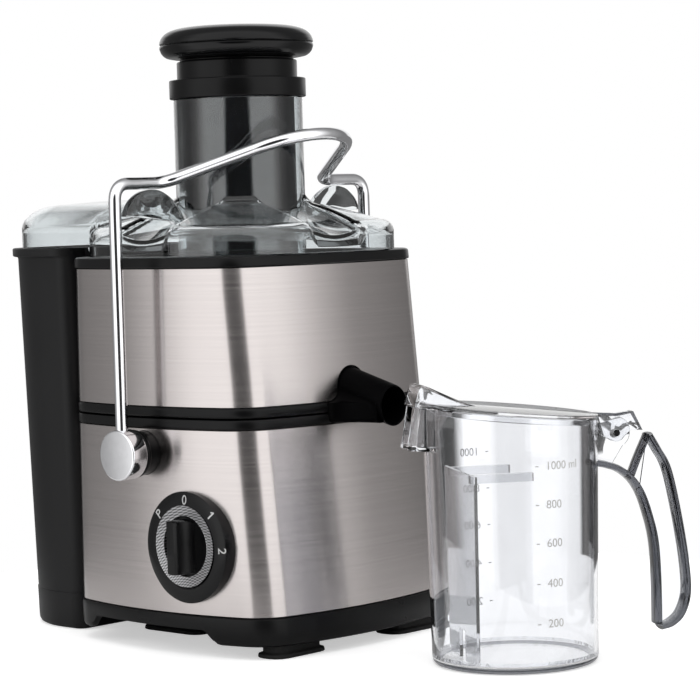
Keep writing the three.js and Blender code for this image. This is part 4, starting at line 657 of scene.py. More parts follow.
def circle(radius: float, z: float, steps: int = 96, centre: Flat = (0.0, 0.0)) -> Ring:
    """Returns a level circle of points."""
    return [Vector((centre[0] + radius * math.cos(2 * math.pi * i / steps),
                    centre[1] + radius * math.sin(2 * math.pi * i / steps), z)) for i in range(steps)]


def blend_of(a: float | Vector, b: float | Vector, t: float) -> float | Vector:
    """Returns the value a share t of the way from a to b."""
    return a + (b - a) * t


def bend(start: Vector, corner: Vector, end: Vector, t: float) -> Vector:
    """Runs round a corner from one side to the other."""
    return start * (1 - t) ** 2 + corner * 2 * t * (1 - t) + end * t * t


def rounded(points: Sequence[Flat], radius: float, steps: int = 4, closed: bool = True) -> list[Flat]:
    """Rounds the corners of an outline.

    Args:
        points: The corners.
        radius: Largest cut back along each side.
        steps: Points per corner.
        closed: Whether the outline closes; otherwise its two ends stay sharp.

    Returns:
        The outline with a short curve at each corner.
    """
    out: list[Flat] = []
    count = len(points)
    for i, (x, y) in enumerate(points):
        if not closed and i in (0, count - 1):
            out.append((x, y))
            continue
        here = Vector((x, y))
        back = Vector(points[i - 1]) - here
        on = Vector(points[(i + 1) % count]) - here
        reach = min(radius, back.length * 0.45, on.length * 0.45)
        start, end = here + back.normalized() * reach, here + on.normalized() * reach
        for k in range(steps + 1):
            t = k / steps
            spot = bend(start, here, end, t)
            out.append((spot.x, spot.y))
    return out


def offset_outline(outline: Sequence[Flat], by: float) -> list[Flat]:
    """Moves a closed outline outwards, or inwards for a negative distance.

    Args:
        outline: The outline, either way round.
        by: Distance.

    Returns:
        The moved outline.
    """
    count = len(outline)
    area = sum(outline[i - 1][0] * outline[i][1] - outline[i][0] * outline[i - 1][1] for i in range(count))
    sign = 1 if area > 0 else -1
    out = []
    for i in range(count):
        before, after = Vector(outline[i - 1]), Vector(outline[(i + 1) % count])
        way = (after - before).normalized()
        out.append((outline[i][0] + way.y * by * sign, outline[i][1] - way.x * by * sign))
    return out


def spline(points: Sequence[Flat], steps: int) -> list[Flat]:
    """Runs a smooth curve through points.

    Args:
        points: The points.
        steps: Samples per span.

    Returns:
        The sampled curve with both ends.
    """
    line = [Vector(point) for point in points]
    line = [2 * line[0] - line[1], *line, 2 * line[-1] - line[-2]]
    out = []
    for i in range(1, len(line) - 2):
        a, b, c, d = line[i - 1:i + 3]
        for k in range(steps):
            t = k / steps
            spot = 0.5 * ((2 * b) + (c - a) * t + (2 * a - 5 * b + 4 * c - d) * t * t
                          + (3 * b - a - 3 * c + d) * t ** 3)
            out.append((spot.x, spot.y))
    out.append(tuple(points[-1]))
    return out


def carved(piece: bpy.types.Object, cutters: Sequence[bpy.types.Object], sharp: float = 32.0) -> bpy.types.Object:
    """Cuts solids out of a piece and drops the cutters.

    Args:
        piece: The piece.
        cutters: Closed objects to cut away.
        sharp: Crease angle in degrees.

    Returns:
        The piece with its new mesh.
    """
    for cutter in cutters:
        step = piece.modifiers.new("cut", "BOOLEAN")
        step.operation = "DIFFERENCE"
        step.solver = "EXACT"
        step.object = cutter
    evaluated = piece.evaluated_get(bpy.context.evaluated_depsgraph_get())
    mesh = bpy.data.meshes.new_from_object(evaluated)
    piece.modifiers.clear()
    piece.data = mesh
    shade(mesh, sharp)
    for cutter in cutters:
        bpy.data.objects.remove(cutter)
    return piece


def settle(piece: bpy.types.Object, finish: Finish, body: str, *nodes: str) -> bpy.types.Object:
    """Dresses a piece, hides the CAD nodes it stands for and fixes it to its body.

    Args:
        piece: The piece, already in place.
        finish: Its finish.
        body: The moving part it belongs to.
        nodes: CAD nodes that it replaces.

    Returns:
        The piece.
    """
    finish.dress(piece)
    if nodes:
        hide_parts(*nodes)
    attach(piece, body)
    LOG.info("made %s", piece.name)
    return piece


def touched_up(piece: bpy.types.Object, finish: Finish, place: Place, chosen: Callable[[Vector], bool]) -> None:
    """Gives some faces of a dressed piece a second finish.

    Args:
        piece: The dressed piece.
        finish: The second finish.
        place: Local frame in which the faces are chosen.
        chosen: Tells from a face's middle, in local millimetres, whether it gets the second finish.
    """
    piece.data.materials.append(finish.material())
    back = place.matrix().inverted()
    for face in piece.data.polygons:
        if chosen(back @ face.center):
            face.material_index = 1


# ------------------------------------------------------------------ housing


@dataclass
class Housing:
    """The tapered column: skirt, steel sheets, seam bands, rim and the black shells behind them.

    Attributes:
        place: Local frame, origin on the counter under the feed tube.
        base_half: Half width and half depth at the foot of the steel.
        top_half: Half width and half depth at its top.
        base_shift: How far forward the foot's centre lies.
        side_radius: Bulge radius of the sides.
        corner_radius: Radius of the corners.
        steel_from: Height of the steel's foot.
        seam: Height of the joint between base and bowl unit.
        steel_to: Height of the steel's top.
        trim: Height of one seam band.
        rim: Height of the black rim.
        sheet: Thickness of the steel.
        skirt_bottom: Height of the skirt's lower edge.
        bowl_radius: Radius of the round opening in the rim.
        pivot: X and height of the arm's pivots.
        dial: X and height of the dial's neck.
        spout_radius: Outer radius of the spout.
        spout_slope: Fall of the spout, in degrees.
        spout_mouth: X and height of the middle of the spout's mouth.
        fairing_from: X at which the fairing starts to narrow.
        around: Points round the outline.
    """

    place: Place
    base_half: Flat = (100.0, 98.5)
    top_half: Flat = (88.4, 96.3)
    base_shift: float = 8.0
    side_radius: float = 290.0
    corner_radius: float = 29.0
    steel_from: float = 26.0
    seam: float = 149.6
    steel_to: float = 244.0
    trim: float = 6.8
    rim: float = 7.0
    sheet: float = 1.0
    skirt_bottom: float = 8.0
    bowl_radius: float = 81.0
    pivot: Flat = PIVOT
    dial: Flat = DIAL_AXIS
    spout_radius: float = SPOUT_RADIUS
    spout_slope: float = SPOUT_SLOPE
    spout_mouth: Flat = SPOUT_MOUTH
    fairing_from: float = 97.0
    around: int = 240

    def ring(self, z: float, inset: float = 0.0) -> Ring:
        """Returns the outline at a height, drawn in by an inset.

        Args:
            z: Height.
            inset: How far it is drawn in.

        Returns:
            The outline.
        """
        up = (z - self.steel_from) / (self.steel_to - self.steel_from)
        half_x = blend_of(self.base_half[0], self.top_half[0], up)
        half_y = blend_of(self.base_half[1], self.top_half[1], up)
        return cushion(z, blend_of(self.base_shift, 0.0, up), half_x - inset, half_y - inset,
                       self.side_radius - inset, self.corner_radius - inset, self.around)

    def stack(self, *levels: Flat) -> list[Ring]:
        """Returns the outlines at several heights."""
        return [self.ring(z, inset) for z, inset in levels]

    def inner(self, z: float, radius: float) -> Ring:
        """Returns a circle with as many points as the outline."""
        return circle(radius, z, self.around)

    def build(self) -> None:
        """Builds every piece of the column."""
        self.skirt()
        self.base_shell()
        self.bowl_shell()
        self.rim_ring()
        self.sheets()

    def skirt(self) -> None:
        """Black skirt with a shallow cut-out under the middle of each side."""
        def foot(point: Vector, low: float) -> float:
            """Lifts the lower edge over the cut-outs.

            Args:
                point: Point on the skirt.
                low: Height of the lower edge.

            Returns:
                The height.
            """
            over = min(point.x + 62.0, 62.0 - point.x) / 13.0
            share = min(max(over, 0.0), 1.0) if abs(point.y) > 70 else 0.0
            return low + 9.0 * share * share * (3 - 2 * share)

        stack = []
        for z, inset in ((0.0, 2.0), (0.8, 0.6), (3.0, -0.4), (9.2, -0.7), (15.5, -0.8), (17.2, -0.5), (17.7, 0.2),
                         (17.7, 3.0), (8.0, 3.2), (0.0, 4.4)):
            line = self.ring(self.skirt_bottom + z, inset)
            for point in line:
                low = foot(point, self.skirt_bottom)
                point.z = max(point.z, low + (z if z < 1 else z * 0.15 + 0.6) if z < 9 else point.z)
            stack.append(line)
        settle(Draft().skin(stack, closed=True).piece("skirt_shell", self.place), BLACK, "machine", "base_skirt")

    def base_shell(self) -> None:
        """Lower shell behind the steel, its seam band and deck."""
        low = self.seam - self.trim
        behind = self.sheet + 0.3
        stack = [*self.stack((20.8, behind + 2.2), (26.0, behind + 2.2), (26.2, behind), (low, behind), (low, 0.6),
                             (low + 0.5, -0.1), (low + 1.2, -0.3), (self.seam - 1.6, -0.3), (self.seam - 0.8, -0.05),
                             (self.seam - 0.5, 0.7)),
                 self.inner(self.seam - 0.5, 17), self.inner(self.seam - 3.3, 17),
                 *self.stack((self.seam - 3.3, behind + 2.4), (30.0, behind + 2.4), (20.8, behind + 4.6))]
        shell = Draft().skin(stack, closed=True).piece("base_shell", self.place)
        carved(shell, self.side_bores(4.4))
        settle(shell, BLACK, "machine", "motor_housing")

    def side_bores(self, boss: float) -> list[bpy.types.Object]:
        """Returns cutters for the dial's neck and the two pivots.

        Args:
            boss: Radius of the pivots' bores.

        Returns:
            The cutters.
        """
        dial = self.place.moved(self.dial[0], 0, self.dial[1], facing=True)
        cutters = [Draft().turned([(0, 60), (22.3, 60), (22.3, 130), (0, 130)]).piece("dial cutter", dial)]
        for side in Side:
            hub = self.place.moved(self.pivot[0], 0, self.pivot[1], turn=side.turn, facing=True)
            cutters.append(Draft().turned([(0, 70), (boss, 70), (boss, 130), (0, 130)]).piece("pivot cutter", hub))
        return cutters

    def bowl_shell(self) -> None:
        """Upper seam band, the shell behind the upper steel and the fairing that grows into the spout."""
        low, high = self.seam + 0.3, self.seam + self.trim
        behind = self.sheet + 0.3
        top = self.steel_to - 0.3
        stack = self.stack((low, 0.9), (low + 0.4, 0.1), (low + 1.2, -0.3), (high - 1.2, -0.3), (high - 0.4, 0.0),
                           (high, 0.6), (high, behind), (top, behind), (top, behind + 2.4), (low, behind + 2.4))
        shell = Draft().skin(stack, closed=True).piece("bowl_body", self.place)
        bore = Draft().swept(self.spout_line(-26, 30), ellipse(self.spout_radius + 0.3, self.spout_radius + 0.3, 48))
        carved(shell, [bore.piece("spout cutter", self.place)])
        settle(shell, BLACK, "machine", "bowl_shell")
        settle(self.fairing(), SPOUT_PAINTED_SHADE_BLACK, "machine")

    def spout_line(self, start: float, end: float, steps: int = 2) -> list[Vector]:
        """Returns points on the spout's axis between two distances from the housing's face.

        Args:
            start: First distance.
            end: Last distance.
            steps: Number of points.

        Returns:
            The points.
        """
        slope = math.radians(self.spout_slope)
        root = Vector((92.0, 0.0, self.spout_z(92.0)))
        way = Vector((math.cos(slope), 0.0, -math.sin(slope)))
        return [root + way * blend_of(start, end, i / (steps - 1)) for i in range(steps)]

    def spout_z(self, out: float) -> float:
        """Returns the height of the spout's axis at a distance out from the middle."""
        return self.spout_mouth[1] + (self.spout_mouth[0] - out) * math.tan(math.radians(self.spout_slope))

    def fillet(self, out: float, gap: float = 0.0) -> list[Flat]:
        """Returns the curve from the fairing's ledge up to the spout's flank, seen along the spout.

        Args:
            out: Distance out from the middle.
            gap: Room left round it.

        Returns:
            Pairs of distance across and height, lowest first.
        """
        t = min(max((out - self.fairing_from) / (self.spout_mouth[0] - 4.0 - self.fairing_from), 0.0), 1.0)
        thin = self.spout_radius + 0.25
        wide = blend_of(24.0, thin, 1 - (1 - t) ** 2.2)
        ledge = min(self.seam + self.trim - 0.4, self.spout_z(out) - 1.0)
        top = self.spout_z(out) + 1.5
        return [(thin + gap + (wide - thin) * (1 - k / 8) ** 2.2, blend_of(ledge, top, (k / 8) ** 1.5) + gap * 0.6)
                for k in range(9)]

    def fairing(self) -> bpy.types.Object:
        """The seam band's swelling under the spout: level below and narrowing to the mouth.

        Returns:
            The finished shape.
        """
        low = self.seam - self.trim + 0.5
        rings = []
        for k in range(15):
            out = 89.0 + (self.spout_mouth[0] - 3.5 - 89.0) * k / 14
            side = self.fillet(out)
            wide = side[0][0]
            side = [(wide * 0.5, low), (wide - 2.4, low), (wide - 0.9, low + 0.5), (wide - 0.2, low + 1.6),
                    (wide, low + 3.0), *side]
            rings.append([Vector((out, y, z)) for y, z in (*side, *((-y, z) for y, z in reversed(side)))])
        piece = Draft().skin(rings).piece("spout_fairing", self.place, 40)
        bore = Draft().swept(self.spout_line(-40, 70), ellipse(self.spout_radius + 0.15, self.spout_radius + 0.15, 48))
        under = Draft().skin([self.ring(self.seam - 20, -0.5), self.ring(self.seam + 0.2, -0.5)])
        return carved(piece, [bore.piece("fairing cutter", self.place), under.piece("seam cutter", self.place)], 40)

    def rim_ring(self) -> None:
        """Black ring over the steel."""
        top = self.steel_to + self.rim
        stack = [*self.stack((self.steel_to, 1.0), (self.steel_to + 0.1, -0.6), (self.steel_to + 0.6, -1.0),
                             (top - 1.8, -1.0), (top - 0.8, -0.6), (top - 0.2, 0.4), (top, 1.4)),
                 self.inner(top, self.bowl_radius + 0.6), self.inner(top - 0.8, self.bowl_radius),
                 self.inner(self.steel_to, self.bowl_radius)]
        settle(Draft().skin(stack, closed=True).piece("rim_ring", self.place), BLACK, "machine", "top_rim")

    def sheets(self) -> None:
        """The two wrapped steel sheets."""
        low, high = self.seam - self.trim - 0.3, self.seam + self.trim + 0.3
        for name, node, start, end in (("lower_sheet", "lower_steel_band", self.steel_from + 0.3, low),
                                       ("upper_sheet", "upper_steel_band", high, self.steel_to - 0.3)):
            stack = [self.ring(start, 0.35), self.ring(start + 0.3, 0.0)]
            stack += [self.ring(blend_of(start + 0.3, end - 0.3, i / 6), 0.0) for i in range(1, 7)]
            stack += [self.ring(end, 0.35), self.ring(end, self.sheet), self.ring(start, self.sheet)]
            sheet = Draft().skin(stack, closed=True).piece(name, self.place)
            if node.startswith("lower"):
                carved(sheet, self.side_bores(14.3))
            else:
                half = self.spout_radius + 0.9
                side = [(30.0, self.seam), (26.0, self.seam + self.trim), *self.fillet(self.fairing_from, 0.6)]
                arch = [(half * math.cos(a), self.spout_z(96.0) + 1.5 + half * math.sin(a))
                        for a in (math.pi * k / 16 for k in range(17))]
                outline = [*side, *arch, *((-y, z) for y, z in reversed(side))]
                notch = Draft().slab(outline, 60, 130).piece("spout notch", self.place.moved(0, 0, 0, 90, True))
                carved(sheet, [notch])
            settle(sheet, STAINLESS, "machine", node)


def cushion(z: float, centre: float, half_x: float, half_y: float, side: float, corner: float, steps: int) -> Ring:
    """Returns a level outline with bulged sides and round corners.

    Args:
        z: Height.
        centre: X of its middle.
        half_x: Half width.
        half_y: Half depth.
        side: Radius of the bulged sides.
        corner: Radius of the corners.
        steps: Points around.

    Returns:
        The outline.
    """
    p, q = half_x - side, half_y - side
    apart = math.hypot(p, q)
    drop = math.sqrt((side - corner) ** 2 - (apart / 2) ** 2)
    kx, ky = p / 2 - drop * q / apart, q / 2 - drop * p / apart
    reach_x, reach_y = math.hypot(kx - p, ky), math.hypot(kx, ky - q)
    from_x = math.atan2(ky + corner * ky / reach_x, kx + corner * (kx - p) / reach_x)
    to_y = math.atan2(ky + corner * (ky - q) / reach_y, kx + corner * kx / reach_y)
    out = []
    for i in range(steps):
        angle = 2 * math.pi * (i + 0.5) / steps
        c, s = abs(math.cos(angle)), abs(math.sin(angle))
        turn = math.atan2(s, c)
        x, y, radius = (p, 0.0, side) if turn < from_x else (0.0, q, side) if turn > to_y else (kx, ky, corner)
        along = c * x + s * y
        reach = along + math.sqrt(along ** 2 - x ** 2 - y ** 2 + radius ** 2)
        out.append(Vector((centre + reach * math.cos(angle), reach * math.sin(angle), z)))
    return out


def ellipse(a: float, b: float, steps: int = 32, power: float = 2.0) -> list[Flat]:
    """Returns a superellipse outline: power 2 is an ellipse, higher is boxier.

    Args:
        a: Half width.
        b: Half height.
        steps: Points around.
        power: Its power.

    Returns:
        The outline.
    """
    out = []
    for i in range(steps):
        c, s = math.cos(2 * math.pi * i / steps), math.sin(2 * math.pi * i / steps)
        out.append((a * math.copysign(abs(c) ** (2 / power), c), b * math.copysign(abs(s) ** (2 / power), s)))
    return out


# ------------------------------------------------------------------ lid and feed tube


@dataclass
class Lid:
    """Clear lid: dome, scoops, ears and the tunnel over the pulp container.

    Attributes:
        place: Local frame.
        half: Half width and half depth of the dome.
        corner: Corner radius of the dome.
        seat: Height of the rim it stands on.
        shoulder: Height of the dome's edge.
        crown: Height of the dome at the feed tube.
        tube: Radius of the feed tube.
        wall: Wall thickness.
        duct_half: Half width of the tunnel.
        duct_end: X of the tunnel's far end.
        duct_corner: Its corner radius in plan.
        duct_top: Height of its roof.
        duct_seat: Height of the container's rim under it.
        arm_under: Height of the closed arm's underside over the ears.
        round_edge: Radius of the dome's rounded edge.
        around: Points round the outline.
        main_line: Distance of the dome's outline in each direction.
    """

    place: Place
    half: Flat = (88.0, 92.5)
    corner: float = 64.0
    seat: float = 251.3
    shoulder: float = 270.5
    crown: float = 283.5
    tube: float = TUBE_RADIUS
    wall: float = 2.2
    duct_half: float = 69.0
    duct_end: float = -173.5
    duct_corner: float = 50.0
    duct_top: float = 284.0
    duct_seat: float = 257.3
    arm_under: float = 293.7
    round_edge: float = 8.0
    around: int = 360
    main_line: list[float] = field(init=False, repr=False)

    def __post_init__(self) -> None:
        """Works out the dome's outline as a distance for each direction."""
        outline = cushion(0, 0.0, *self.half, 1200.0, self.corner, self.around)
        self.main_line = [math.hypot(p.x, p.y) for p in outline]

    def build(self) -> None:
        """Builds the dome with its ears."""
        outer = self.surface(0.0)
        inner = self.surface(self.wall)
        draft = Draft().skin([*outer, *reversed(inner)], closed=True)
        for side in (-1, 1):
            self.ear(draft, side)
        settle(draft.piece("lid_shell", self.place, 40), SMOKE, "machine", "lid")

    def reach(self, angle: float, inset: float) -> tuple[float, float]:
        """Returns the outline's distance in a direction and how far it belongs to the tunnel.

        Args:
            angle: Direction in radians.
            inset: How far the outline is drawn in.

        Returns:
            The distance, and 1 over the tunnel or 0 over the dome.
        """
        c, s = math.cos(angle), math.sin(angle)
        main = self.main_line[int(round(angle / (2 * math.pi) * self.around - 0.5)) % self.around] - inset
        if c > -1e-6:
            return main, 0.0
        half, far, corner = self.duct_half - inset, -self.duct_end - inset, self.duct_corner - inset
        side = half / max(abs(s), 1e-9)
        duct = side
        if side * abs(c) > far - corner:
            duct = far / abs(c)
            if duct * abs(s) > half - corner:
                x, y = far - corner, half - corner
                along = abs(c) * x + abs(s) * y
                duct = along + math.sqrt(max(along ** 2 - x ** 2 - y ** 2 + corner ** 2, 0.0))
        return (duct, 1.0) if duct > main else (main, 0.0)

    def dome(self, x: float, y: float, inset: float) -> float:
        """Height of the dome's surface without its scoops, its edge drawn in by an inset.

        Args:
            x: Place along X.
            y: Place along Y.
            inset: How far the edge is drawn in.

        Returns:
            The height.
        """
        r = math.hypot(x, y)
        nearest = int(math.atan2(y, x) / (2 * math.pi) * self.around) % self.around
        edge = self.main_line[nearest] - self.round_edge - inset
        t = min(max((r - self.tube) / max(edge - self.tube, 1.0), 0.0), 1.0)
        neck = 5.0 * max(0.0, 1 - (r - self.tube) / 7.0) ** 2
        z = self.shoulder + (self.crown - self.shoulder) * (1 - t ** 1.25) + neck
        over = max(r - edge, 0.0)
        return z - self.round_edge * (1 - math.sqrt(max(1 - (over / self.round_edge) ** 2, 0.0)))

    def scoop(self, x: float, y: float) -> float:
        """Height of the nearest scoop: a steep facet at the wall, a dished slope above it and side slopes.

        Args:
            x: Place along X.
            y: Place along Y.

        Returns:
            The height, or a large one away from every scoop.
        """
        low = 500.0
        for along, across, half in ((x, y, self.half[0]), (y, x, self.half[1]), (-y, x, self.half[1])):
            if along > 20:
                depth, aside = half - along, abs(across) / 20.0
                facet = 252.5 + 3.4 * depth
                dish = 263.4 + 0.4 * depth - 3.2 * max(0.0, 1 - aside ** 2)
                low = min(low, smooth_min(facet, dish, 1.2) + max(0.0, abs(across) - 20.0) * 1.5)
        return low

    def roof(self, x: float, y: float, inset: float) -> float:
        """Height of the tunnel's roof, rounded towards its three free edges, which are drawn in by an inset.

        Args:
            x: Place along X.
            y: Place along Y.
            inset: How far the edges are drawn in.

        Returns:
            The height, or 0 outside.
        """
        inside = min(self.duct_half - abs(y), x - self.duct_end)
        cx, cy = self.duct_end + self.duct_corner, self.duct_half - self.duct_corner
        if x < cx and abs(y) > cy:
            inside = self.duct_corner - math.hypot(x - cx, abs(y) - cy)
        inside -= inset
        if inside < -0.01 or x > -20:
            return 0.0
        edge = max(0.0, 1 - inside / 24.0)
        return self.duct_top + 4.0 * min(inside / 60.0, 1.0) - 14.0 * (1 - math.sqrt(max(1 - edge ** 2, 0.0)))

    def height(self, x: float, y: float, inset: float) -> float:
        """Height of the finished surface, drawn in and lowered by an inset."""
        main = smooth_min(self.dome(x, y, inset), self.scoop(x, y), 2.0)
        return -smooth_min(-main, -self.roof(x, y, inset), 3.0) - inset

    def surface(self, inset: float) -> list[Ring]:
        """Rings of the skin from its foot to the feed tube, drawn in by an inset.

        Args:
            inset: How far inside the outer skin it lies.

        Returns:
            The rings, outermost first.
        """
        angles = [2 * math.pi * (i + 0.5) / self.around for i in range(self.around)]
        reaches = [self.reach(angle, inset) for angle in angles]
        rings: list[Ring] = []
        foot = [self.duct_seat if duct else self.seat for _, duct in reaches]
        wall_steps = 7
        for k in range(wall_steps):
            line = []
            for angle, (reach, _), low in zip(angles, reaches, foot):
                x, y = (reach - 0.6) * math.cos(angle), (reach - 0.6) * math.sin(angle)
                top = max(self.height(x, y, inset), low + 0.5)
                z = blend_of(low, top, k / wall_steps)
                line.append(Vector((reach * math.cos(angle), reach * math.sin(angle), z)))
            rings.append(line)
        inner = self.tube + 0.3
        spans = 46
        for k in range(spans + 1):
            t = k / spans
            t = t ** 1.6 if t < 1 else 1.0
            line = []
            for angle, (reach, _) in zip(angles, reaches):
                r = blend_of(reach - 0.6, inner, t)
                x, y = r * math.cos(angle), r * math.sin(angle)
                line.append(Vector((x, y, self.height(x, y, inset))))
            rings.append(line)
        return rings

    def ear(self, draft: Draft, side: int) -> None:
        """Adds one semicircular ear that the closed arm presses on.

        Args:
            draft: The lid's draft.
            side: -1 or 1 along Y.
        """
        top = self.arm_under
        arc = spline([(108.5, top - 16.5), (107.6, top - 13.0), (103.5, top - 7.0), (96.5, top - 2.2),
                      (88.5, top - 0.1), (80.0, top - 0.3), (72.0, top - 3.6), (65.6, top - 8.4), (61.0, top - 13.6),
                      (57.6, top - 19.4)], 5)
        outline = [*arc, (57.6, top - 24.0), (64.0, top - 23.5), (68.5, top - 20.6), (84.0, top - 18.6)]
        plate = Draft().slab(outline, 1.6, 6.2, 0.5)
        base_count = len(draft.points)
        draft.points.extend(Vector((p.z, side * p.x, p.y)) for p in plate.points)
        draft.faces.extend(tuple(i + base_count for i in face) for face in plate.faces)


def smooth_min(a: float, b: float, k: float) -> float:
    """Returns the smaller of two values, rounded where they meet."""
    h = max(k - abs(a - b), 0.0) / k
    return min(a, b) - h * h * k * 0.25


@dataclass
class FeedTube:
    """Clear feed tube and the dark pusher that stands in it.

    Attributes:
        place: Local frame.
        radius: Outer radius of the tube.
        wall: Its wall thickness.
        bottom: Height of its lower end.
        top: Height of its upper end.
        pusher_radius: Radius of the pusher.
        cap_radius: Radius of the pusher's cap.
    """

    place: Place
    radius: float = TUBE_RADIUS
    wall: float = 1.4
    bottom: float = 190.0
    top: float = 352.4
    pusher_radius: float = 37.2
    cap_radius: float = 50.7

    def build(self) -> None:
        """Builds the tube, the pusher's body, collar and cap."""
        inner = self.radius - self.wall
        outer = self.radius
        tube = rounded([(inner, self.bottom), (outer, self.bottom), (outer, self.top), (inner, self.top)], 0.8)
        settle(Draft().turned(tube, 128).piece("feed_sleeve", self.place), SMOKE, "machine", "feed_tube")
        r, low, high = self.pusher_radius, self.top - 165.5, self.top
        body = [(0, low), *rounded([(0, low), (r, low), (r, high), (r - 2.5, high), (r - 2.5, low + 3), (0, low + 3)],
                                   2.2, closed=False)[1:-1], (0, low + 3)]
        settle(Draft().turned(body, 128).piece("pusher_cup", self.place), DARK_SMOKE, "pusher", "pusher_body")
        z = self.top + 0.3
        collar = rounded([(36.5, z), (45.0, z), (45.0, z + 12.3), (39.6, z + 12.3), (39.6, z + 24.2), (37.5, z + 24.2),
                          (37.5, z + 25.9), (34.5, z + 25.9), (34.5, z + 22.2), (36.5, z + 22.2)], 0.9)
        settle(Draft().turned(collar, 128).piece("pusher_stop", self.place), BLACK, "pusher", "pusher_collar")
        self.cap(z + 26.2)

    def cap(self, z: float) -> None:
        """Builds the cap's two halves with the seam between them.

        Args:
            z: Height of its underside.
        """
        r, seam = self.cap_radius, z + 9.0
        low = [(0.0, z), (38.5, z), *spline([(42.0, z + 0.1), (46.4, z + 1.1), (49.3, z + 3.6), (r, z + 6.9)], 6),
               (r, seam - 0.9), (r - 0.5, seam - 0.25), (0.0, seam - 0.25)]
        settle(Draft().turned(low, 128).piece("cap_lower", self.place), GLOSS, "pusher", "pusher_cap_base")
        top = seam + 12.0
        high = [(0.0, seam + 0.25), (r - 0.5, seam + 0.25), (r, seam + 0.9),
                *spline([(r - 0.2, seam + 2.4), (r - 1.8, seam + 5.6), (r - 5.6, seam + 8.7), (r - 13.0, seam + 10.9),
                         (r - 24.0, top - 0.1), (20.0, top)], 6), (0.0, top)]
        settle(Draft().turned(high, 128).piece("cap_upper", self.place), GLOSS, "pusher", "pusher_cap_top")


@dataclass
class Arm:
    """Bent chrome locking arm with its end caps and bosses.

    Attributes:
        place: Local frame.
        rod: Radius of the rod.
        pivot: X and height of the pivots.
        leg: Distance of the legs from the middle.
        top: Height of the level part.
        loop_half: Half width at the foot of the loop.
        loop_reach: Reach of the loop.
        nose: Radius of the loop's nose.
        rise: Rise of the loop, in degrees.
    """

    place: Place
    rod: float = 4.0
    pivot: Flat = PIVOT
    leg: float = 116.0
    top: float = 298.0
    loop_half: float = 73.0
    loop_reach: float = 80.0
    nose: float = 46.0
    rise: float = 21.0

    def build(self) -> None:
        """Builds the rod and both pivots."""
        bow = Draft().swept(self.path(), ellipse(self.rod, self.rod, 24), Vector((0.35, 0.12, 0.93)))
        settle(bow.piece("arm_bow", self.place, 60), CHROME, "arm", "arm_rod")
        for side in Side:
            name = side.name.lower()
            hub = self.place.moved(self.pivot[0], 0, self.pivot[1], turn=side.turn, facing=True)
            cup = rounded([(10.3, 109.0), (16.0, 109.0), (16.0, 121.5), (0.0, 121.5)], 1.3, closed=False)
            cup = [(0.0, 120.4), (10.3, 120.4), *cup]
            slot = self.room(side)
            settle(carved(Draft().turned(cup).piece(f"arm_cup_{name}", hub), [slot]), CHROME, "arm", f"arm_cap_{name}")
            boss = rounded([(4.3, 90.0), (14.0, 90.0), (14.0, 104.8), (15.2, 105.4), (15.2, 108.0), (4.3, 108.0)], 0.6)
            settle(Draft().turned(boss).piece(f"pivot_collar_{name}", hub), BLACK, "machine", f"pivot_boss_{name}")

    def room(self, side: Side) -> bpy.types.Object:
        """Returns the cutter for the rod's foot in one end cap.

        Args:
            side: Which end cap.

        Returns:
            The cutter.
        """
        spot = self.place.moved(self.pivot[0], 0, 0, turn=side.turn)
        return Draft().turned([(0, 131.7), (4.3, 131.7), (4.3, 150), (0, 150)], 32).piece(
            "rod cutter", spot.moved(0, -self.leg, 0))

    def path(self) -> list[Vector]:
        """Draws the rod's centre line, every corner bent to a radius.

        Returns:
            The line.
        """
        rise = math.radians(self.rise)

        def loop(along: float, y: float) -> Vector:
            """Finds a point in the plane of the raised loop."""
            return Vector((self.pivot[0] + along * math.cos(rise), y, self.top + along * math.sin(rise)))

        lean = math.atan2(self.loop_half - self.nose, self.loop_reach - self.nose + 18)
        centre = self.loop_reach - self.nose
        half = [Vector((self.pivot[0], -self.leg, self.pivot[1] + 5)), Vector((self.pivot[0], -self.leg, self.top)),
                Vector((self.pivot[0], -self.loop_half, self.top)),
                loop(centre + self.nose * math.sin(lean), -self.nose * math.cos(lean))]
        out = [half[0]]
        for before, at, after, radius in ((half[0], half[1], half[2], 12.0), (half[1], half[2], half[3], 10.0)):
            start = at + (before - at).normalized() * radius
            end = at + (after - at).normalized() * radius
            run = (start - out[-1]).length
            out += [blend_of(out[-1], start, k / max(int(run / 6), 1)) for k in range(1, max(int(run / 6), 1))]
            out += [bend(start, at, end, k / 12) for k in range(13)]
        run = int((half[3] - out[-1]).length / 4)
        out += [blend_of(out[-1], half[3], k / run) for k in range(1, run)]
        turn = math.pi / 2 - lean
        out += [loop(centre + self.nose * math.cos(a), self.nose * math.sin(a))
                for a in (-turn + turn * k / 20 for k in range(20))]
        mirror = [Vector((p.x, -p.y, p.z)) for p in reversed(out)]
        return [*out, loop(centre + self.nose, 0.0), *mirror]


